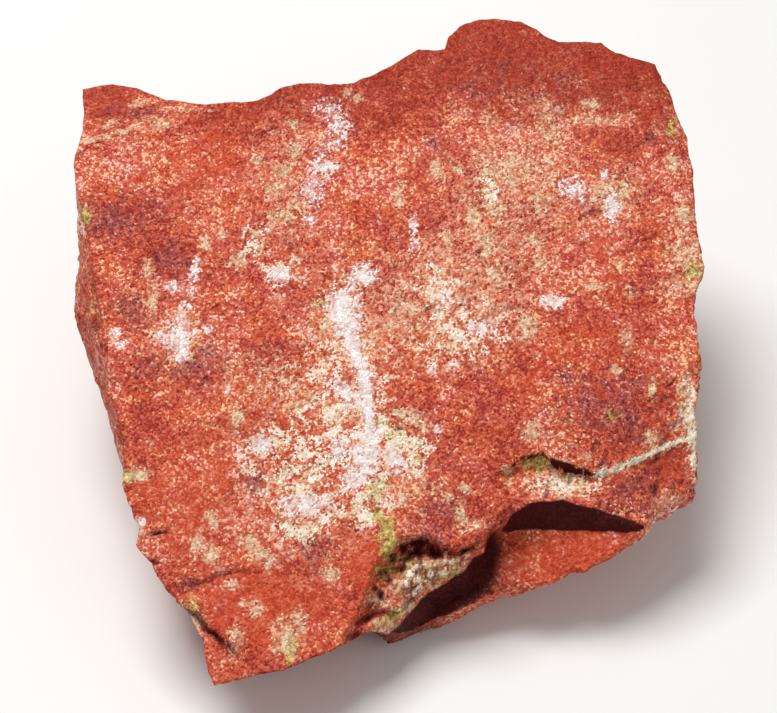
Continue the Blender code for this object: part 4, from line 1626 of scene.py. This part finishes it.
class Wiring:
    """Adds nodes to one node tree and joins them."""

    def __init__(self, tree: bpy.types.NodeTree) -> None:
        """Keep the tree that the nodes go into."""
        self.tree = tree

    def node(self, kind: str, feeds: Feeds | None = None, **settings: str | bool | int) -> bpy.types.Node:
        """Add a node, set its settings and feed its inputs with values or outputs.

        Args:
            kind: Blender's name for the kind of node.
            feeds: values or outputs for its inputs, by name or place in the list.
            settings: the node's own settings.

        Returns:
            The node.
        """
        made = self.tree.nodes.new(kind)
        for name, value in settings.items():
            setattr(made, name, value)
        for name, value in (feeds or {}).items():
            self.feed(made.inputs[name], value)
        return made

    def feed(self, into: bpy.types.NodeSocket, value: Feed) -> None:
        """Join an output to an input, or set the input's value.

        Args:
            into: the input.
            value: an output, or a number or a colour.
        """
        if isinstance(value, bpy.types.NodeSocket):
            self.tree.links.new(value, into)
        elif isinstance(value, tuple) and len(value) == 3 and into.type == "RGBA":
            into.default_value = (*value, 1.0)
        else:
            into.default_value = value

    def sum(self, kind: str, *values: Feed, clamp: bool = False) -> bpy.types.NodeSocket:
        """A sum on numbers, such as ADD, MULTIPLY or MULTIPLY_ADD."""
        made = self.node("ShaderNodeMath", dict(enumerate(values)), operation=kind, use_clamp=clamp)
        return made.outputs[0]

    def sway(self, value: Feed, weight: Feed, base: Feed, clamp: bool = False) -> bpy.types.NodeSocket:
        """The base, plus the weight times how far the value lies above a half."""
        above = self.sum("SUBTRACT", value, 0.5)
        return self.sum("MULTIPLY_ADD", above, weight, base, clamp=clamp)

    def span(self, value: Feed, low: Feed, high: Feed, ends: Pair = (0.0, 1.0)) -> bpy.types.NodeSocket:
        """Bring the range from low to high to the one between the ends, eased at both."""
        feeds = {"Value": value, 1: low, 2: high, 3: ends[0], 4: ends[1]}
        return self.node("ShaderNodeMapRange", feeds, interpolation_type="SMOOTHSTEP").outputs[0]

    def mix(self, share: Feed, first: Feed, second: Feed, mode: str = "MIX") -> bpy.types.NodeSocket:
        """Mix two colours."""
        feeds = {0: share, 6: first, 7: second}
        return self.node("ShaderNodeMix", feeds, data_type="RGBA", blend_type=mode).outputs[2]

    def noise(self, place: Feed, size: float, detail: float = 4.0, rough: float = 0.6) -> bpy.types.Node:
        """Clouds of a size in millimetres."""
        feeds = {"Vector": place, "Scale": 1.0 / size, "Detail": detail, "Roughness": rough}
        return self.node("ShaderNodeTexNoise", feeds)

    def grains(self, place: Feed, size: float) -> bpy.types.Node:
        """Grains of a size in millimetres."""
        return self.node("ShaderNodeTexVoronoi", {"Vector": place, "Scale": 1.0 / size})

    def mask(self, tone: Tone) -> bpy.types.NodeSocket:
        """The mask of a tone."""
        return self.node("ShaderNodeAttribute", attribute_name=tone.value).outputs["Fac"]

    def millimetres(self) -> bpy.types.NodeSocket:
        """Places on the piece in millimetres."""
        feeds = {0: self.node("ShaderNodeTexCoord").outputs["Object"], 1: (1.0 / MM,) * 3}
        return self.node("ShaderNodeVectorMath", feeds, operation="MULTIPLY").outputs[0]

    def surface(self, feeds: Feeds) -> None:
        """End the material with the plain shader and its output."""
        shader = self.node("ShaderNodeBsdfPrincipled", feeds)
        self.node("ShaderNodeOutputMaterial", {"Surface": shader.outputs[0]})


def new_material(name: str) -> tuple[bpy.types.Material, Wiring]:
    """A material with no nodes yet, and the wiring of its tree.

    Args:
        name: the material's name.

    Returns:
        The material and its wiring.
    """
    material = bpy.data.materials.new(name)
    material.use_nodes = True
    material.node_tree.nodes.clear()
    return material, Wiring(material.node_tree)


def new_group(
    name: str, inputs: dict[str, str], outputs: dict[str, str]
) -> tuple[Wiring, bpy.types.Node, bpy.types.Node]:
    """A shader node group with named sockets of kinds Float, Vector or Color.

    Args:
        name: the group's name.
        inputs: kinds of its inputs by name.
        outputs: kinds of its outputs by name.

    Returns:
        The wiring of its tree and its input and output nodes.
    """
    tree = bpy.data.node_groups.new(name, "ShaderNodeTree")
    for way, sockets in (("INPUT", inputs), ("OUTPUT", outputs)):
        for label, kind in sockets.items():
            tree.interface.new_socket(name=label, in_out=way, socket_type=f"NodeSocket{kind}")
    return Wiring(tree), tree.nodes.new("NodeGroupInput"), tree.nodes.new("NodeGroupOutput")


def ragged_group() -> bpy.types.NodeTree:
    """The group that breaks the soft edge of a patch into crumbs.

    Formula: the patch's amount times its reach, plus clouds times its bite, plus a draw
    for each grain times its speck, all of it eased from nothing to full round a half,
    and nothing where there is no patch near.

    Returns:
        The group's tree.
    """
    numbers = ("Amount", "Reach", "Draw", "Speck", "Size", "Bite", "Edge")
    inputs = {"Place": "Vector"} | {label: "Float" for label in numbers}
    wiring, source, sink = new_group("ragged_patch", inputs, {"Mask": "Float"})
    asked = source.outputs
    scale = wiring.sum("DIVIDE", 1.0, asked["Size"])
    feeds = {"Vector": asked["Place"], "Scale": scale, "Detail": RAGGED_DETAIL, "Roughness": RAGGED_ROUGH}
    clouds = wiring.node("ShaderNodeTexNoise", feeds).outputs[0]
    ragged = wiring.sum("MULTIPLY", asked["Amount"], asked["Reach"])
    ragged = wiring.sway(clouds, asked["Bite"], ragged)
    ragged = wiring.sway(asked["Draw"], asked["Speck"], ragged)
    low = wiring.sum("SUBTRACT", 0.5, asked["Edge"])
    high = wiring.sum("ADD", 0.5, asked["Edge"])
    near = wiring.span(asked["Amount"], *RAGGED_NEAR)
    wiring.feed(sink.inputs["Mask"], wiring.sum("MULTIPLY", wiring.span(ragged, low, high), near))
    return wiring.tree


@dataclass(frozen=True)
class ToneFinish:
    """How a tone looks and how raggedly it breaks up.

    Args:
        tone: the tone, whose mask says where it is.
        low: colour of its darkest grains.
        high: colour of its palest grains.
        reach: what its mask is multiplied by; more makes it spread wider.
        speck: how far single grains differ from their neighbours.
        size: size of the clouds that break it up.
        bite: how deep the clouds bite into it.
        edge: how soft its broken edge is.
        strength: how fully it covers what is under it.
    """

    tone: Tone
    low: Triple
    high: Triple
    reach: float
    speck: float
    size: float
    bite: float
    edge: float
    strength: float


@dataclass(frozen=True)
class RockFinish:
    """Sugary pink rock: grains of many reds, broken by patches of other minerals, with painted shade and
    painted shadow multiplied in.

    Clouds are given as size, detail and roughness. The weights say how far a grain's
    draw and then the gust, the clump and the drift move its tint.
    """

    # The palest reds stand partly for pale grains and partly for painted glints
    reds: tuple[tuple[float, Triple], ...] = (
        (0.0, (0.30, 0.024, 0.016)),
        (0.22, (0.45, 0.056, 0.030)),
        (0.50, (0.60, 0.100, 0.052)),
        (0.74, (0.70, 0.158, 0.086)),
        (0.90, (0.80, 0.280, 0.165)),
        (1.0, (0.90, 0.520, 0.350)),
    )
    # Colour multiplied in where shade and shadow are painted
    shade: Triple = (0.085, 0.012, 0.014)
    grain: float = 0.28
    stir: float = 0.15
    stirring: Triple = (0.8, 2.0, 0.6)
    gust: Triple = (0.7, 3.0, 0.68)
    clump: Triple = (2.6, 5.0, 0.6)
    drift: Triple = (12.0, 3.0, 0.55)
    weights: tuple[float, ...] = (0.88, 1.25, 1.25, 1.4)
    first_tint: float = 0.52
    cast: Triple = (4.5, 4.0, 0.65)
    cast_span: Pair = (0.36, 0.64)
    rosy: Triple = (0.99, 1.00, 1.14)
    warm: Triple = (1.03, 1.01, 0.84)
    level_weights: Pair = (0.7, 2.2)
    shade_and_soiling_span: Pair = (0.1, 0.9)
    shadow_span: Pair = (0.42, 0.62)
    roughness: Pair = (0.30, 0.75)
    specular: float = 0.15
    dome: float = 0.6
    grain_height: float = 0.7
    crust: Triple = (1.1, 5.0, 0.75)
    crust_height: float = 2.4
    bump: float = 0.13
    bump_strength: float = 0.8
    tones: tuple[ToneFinish, ...] = (
        # Calmer, darker reds, partly painted shade towards the back of the top
        ToneFinish(Tone.CALM_AND_DIM, (0.27, 0.018, 0.009), (0.46, 0.056, 0.026), 1.1, 0.4, 4.0, 2.2, 0.45, 0.86),
        ToneFinish(Tone.RED, (0.46, 0.036, 0.012), (0.70, 0.104, 0.040), 1.05, 0.5, 2.5, 1.8, 0.30, 0.84),
        ToneFinish(Tone.MAROON, (0.05, 0.008, 0.018), (0.46, 0.085, 0.080), 1.1, 1.0, 2.6, 3.4, 0.34, 0.72),
        ToneFinish(Tone.PALE, (0.62, 0.180, 0.100), (0.94, 0.600, 0.420), 1.05, 1.0, 1.9, 3.0, 0.26, 0.58),
        ToneFinish(Tone.CREAM, (0.62, 0.170, 0.086), (0.88, 0.450, 0.270), 1.5, 0.7, 1.6, 2.6, 0.40, 0.38),
        ToneFinish(Tone.OLIVE, (0.16, 0.100, 0.018), (0.86, 0.700, 0.220), 1.05, 0.6, 0.9, 2.8, 0.14, 0.90),
        ToneFinish(Tone.CREAM, (0.50, 0.240, 0.110), (0.94, 0.800, 0.540), 0.92, 1.0, 1.0, 3.4, 0.20, 0.82),
        ToneFinish(Tone.CRUMB, (0.78, 0.560, 0.340), (1.00, 0.990, 0.870), 1.0, 0.8, 1.9, 4.2, 0.14, 0.95),
        ToneFinish(Tone.WHITE, (0.66, 0.280, 0.230), (0.92, 0.660, 0.620), 1.9, 0.7, 1.8, 2.4, 0.42, 0.55),
        ToneFinish(Tone.WHITE, (0.76, 0.560, 0.500), (1.00, 1.000, 0.980), 1.0, 1.0, 0.9, 2.8, 0.22, 1.0),
    )

    def material(self) -> bpy.types.Material:
        """Build the rock's material.

        Returns:
            The material.
        """
        material, wiring = new_material("pink_rock")
        place = wiring.millimetres()
        stirring = wiring.noise(place, *self.stirring).outputs["Color"]
        feeds = {0: stirring, 1: (self.stir,) * 3, 2: place}
        stirred = wiring.node("ShaderNodeVectorMath", feeds, operation="MULTIPLY_ADD").outputs[0]
        small = wiring.grains(stirred, self.grain)
        draw = wiring.node("ShaderNodeSeparateColor", {0: small.outputs["Color"]}).outputs
        gust = wiring.noise(place, *self.gust).outputs[0]
        colour = self.pinks(wiring, place, draw, gust)
        colour = self.patched(wiring, place, draw, gust, colour)
        # Painted shade with some soiling, then painted shadow, multiplied into the colour
        for tone, ends in ((Tone.DARK, self.shade_and_soiling_span), (Tone.SHADOW, self.shadow_span)):
            shadow = wiring.mix(wiring.span(wiring.mask(tone), *ends), (1.0, 1.0, 1.0), self.shade)
            colour = wiring.mix(1.0, colour, shadow, "MULTIPLY")
        wiring.surface({
            "Base Color": colour,
            "Roughness": wiring.span(draw[2], 0.0, 1.0, self.roughness),
            "Normal": self.bumps(wiring, place, small, draw),
            "Specular IOR Level": self.specular,
        })
        return material

    def pinks(self, wiring: Wiring, place: Feed, draw: Feed, gust: Feed) -> bpy.types.NodeSocket:
        """The reds of the rock, grain by grain.

        Formula: a draw for each grain and clouds of three sizes, each times its weight,
        are added to the first tint, and the sum is looked up in the row of reds. A slow cloud
        then leans the colour to rose or to orange.

        Args:
            wiring: the material's wiring.
            place: places on the stone in millimetres.
            draw: draws for each grain.
            gust: the smallest clouds.

        Returns:
            The colour.
        """
        clump = wiring.noise(place, *self.clump).outputs[0]
        drift = wiring.noise(place, *self.drift).outputs[0]
        tint = self.first_tint
        for value, weight in zip((draw[0], gust, clump, drift), self.weights):
            tint = wiring.sway(value, weight, tint)
        ramp = wiring.node("ShaderNodeValToRGB", {0: tint})
        stops = ramp.color_ramp.elements
        while len(stops) < len(self.reds):
            stops.new(0.5)
        for stop, (share, colour) in zip(stops, self.reds):
            stop.position = share
            stop.color = (*colour, 1.0)
        lean = wiring.span(wiring.noise(place, *self.cast).outputs[0], *self.cast_span)
        cast = wiring.mix(lean, self.rosy, self.warm)
        return wiring.mix(1.0, ramp.outputs[0], cast, "MULTIPLY")

    def patched(
        self, wiring: Wiring, place: Feed, draw: Feed, gust: Feed, colour: Feed
    ) -> bpy.types.NodeSocket:
        """The reds with every patch of another tone laid over them.

        Args:
            wiring: the material's wiring.
            place: places on the stone in millimetres.
            draw: draws for each grain.
            gust: the smallest clouds.
            colour: the reds.

        Returns:
            The colour.
        """
        ragged = ragged_group()
        by_draw, by_gust = self.level_weights
        level = wiring.sway(gust, by_gust, wiring.sway(draw[0], by_draw, 0.5), clamp=True)
        for finish in self.tones:
            group = wiring.node("ShaderNodeGroup", node_tree=ragged)
            feeds = {
                "Place": place, "Amount": wiring.mask(finish.tone), "Reach": finish.reach, "Draw": draw[1],
                "Speck": finish.speck, "Size": finish.size, "Bite": finish.bite, "Edge": finish.edge,
            }
            for name, value in feeds.items():
                wiring.feed(group.inputs[name], value)
            share = wiring.sum("MULTIPLY", group.outputs[0], finish.strength)
            colour = wiring.mix(share, colour, wiring.mix(level, finish.low, finish.high))
        return colour

    def bumps(self, wiring: Wiring, place: Feed, small: bpy.types.Node, draw: Feed) -> bpy.types.NodeSocket:
        """The grain's relief: each grain is a small dome at its own height, on fine clouds.

        Args:
            wiring: the material's wiring.
            place: places on the stone in millimetres.
            small: the grains.
            draw: draws for each grain.

        Returns:
            The bent normal.
        """
        dome = wiring.sum("SUBTRACT", self.dome, small.outputs["Distance"])
        tall = wiring.sum("MULTIPLY_ADD", draw[0], self.grain_height, dome)
        rough = wiring.noise(place, *self.crust).outputs[0]
        height = wiring.sum("MULTIPLY_ADD", rough, self.crust_height, tall)
        feeds = {"Height": height, "Distance": self.bump * MM, "Strength": self.bump_strength}
        return wiring.node("ShaderNodeBump", feeds).outputs[0]


@dataclass(frozen=True)
class FloorFinish:
    """Matt pale card with the faintest mottling."""

    pale: Triple = (0.80, 0.79, 0.77)
    paler: Triple = (0.83, 0.82, 0.80)
    mottle: float = 60.0
    roughness: float = 0.7

    def material(self) -> bpy.types.Material:
        """Build the floor's material.

        Returns:
            The material.
        """
        material, wiring = new_material("pale_floor")
        clouds = wiring.noise(wiring.millimetres(), self.mottle).outputs[0]
        wiring.surface({"Base Color": wiring.mix(clouds, self.pale, self.paler), "Roughness": self.roughness})
        return material


# The studio


def stand(name: str, data: bpy.types.ID) -> bpy.types.Object:
    """Put a new object with the given data into the scene.

    Args:
        name: the object's name.
        data: its mesh, lamp or camera.

    Returns:
        The object.
    """
    made = bpy.data.objects.new(name, data)
    bpy.context.scene.collection.objects.link(made)
    return made


@dataclass(frozen=True)
class Lamp:
    """A soft square lamp: where it is, how wide, how strong and its colour."""

    name: str
    place: Triple
    size: float
    power: float
    colour: Triple = (1.0, 1.0, 1.0)


@dataclass(frozen=True)
class Studio:
    """A pale floor, soft lamps and a camera that looks down at the broad face."""

    aim: Triple = (0.3, -3.7, 24.5)
    elevation: float = math.radians(45.0)
    distance: float = 273.0
    lens: float = 100.0
    clip: Pair = (0.01, 20.0)
    floor_half: float = 3.0
    lamp_aim: Triple = (0.0, 0.0, 0.02)
    sky: Triple = (1.0, 1.0, 1.0)
    sky_strength: float = 0.30
    lamps: tuple[Lamp, ...] = (
        Lamp("key", (-0.16, 0.16, 0.60), 0.34, 3.9),
        Lamp("fill", (0.35, -0.45, 0.45), 0.5, 0.9),
    )

    def camera(self) -> None:
        """Place the camera on its line of sight and make it the scene's own."""
        data = bpy.data.cameras.new("camera")
        data.lens = self.lens
        data.clip_start, data.clip_end = self.clip
        eye = stand("camera", data)
        back, high = math.cos(self.elevation), math.sin(self.elevation)
        x, y, z = self.aim
        eye.location = (x * MM, (y - self.distance * back) * MM, (z + self.distance * high) * MM)
        eye.rotation_euler = (math.pi / 2.0 - self.elevation, 0.0, 0.0)
        bpy.context.scene.camera = eye
        LOG.info("camera: %.0f mm away", self.distance)

    def floor(self) -> None:
        """Lay the floor, which isn't part of the stone."""
        half = self.floor_half
        mesh = bpy.data.meshes.new("floor")
        corners = [(x * half, y * half, 0.0) for x, y in ((-1, -1), (1, -1), (1, 1), (-1, 1))]
        mesh.from_pydata(corners, [], [(0, 1, 2, 3)])
        mesh.materials.append(FloorFinish().material())
        floor = stand("floor", mesh)
        LOG.info("floor: laid")

    def light(self) -> None:
        """Hang the lamps and set the even light from all round."""
        world = bpy.data.worlds.new("studio")
        world.use_nodes = True
        ground = world.node_tree.nodes["Background"]
        ground.inputs["Color"].default_value = (*self.sky, 1.0)
        ground.inputs["Strength"].default_value = self.sky_strength
        bpy.context.scene.world = world
        for lamp in self.lamps:
            data = bpy.data.lights.new(lamp.name, "AREA")
            data.energy, data.size, data.color = lamp.power, lamp.size, lamp.colour
            hung = stand(lamp.name, data)
            hung.location = lamp.place
            x, y, z = np.array(self.lamp_aim) - np.array(lamp.place)
            hung.rotation_euler = (math.atan2(math.hypot(x, y), -z), 0.0, math.atan2(-x, y))
            LOG.info("lamp %s: hung", lamp.name)

    def build(self) -> None:
        """Set up the studio, with plain rendering of colours."""
        bpy.context.scene.view_settings.view_transform = "Standard"
        self.floor()
        self.light()
        self.camera()


def main() -> None:
    """Build the stone and the studio."""
    logging.basicConfig(level=logging.INFO, format="%(name)s: %(message)s")
    skin = Stone().build()
    skin.data.materials.append(RockFinish().material())
    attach(skin, "root")
    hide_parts(STONE)
    Studio().build()


if __name__ == "__main__":
    main()
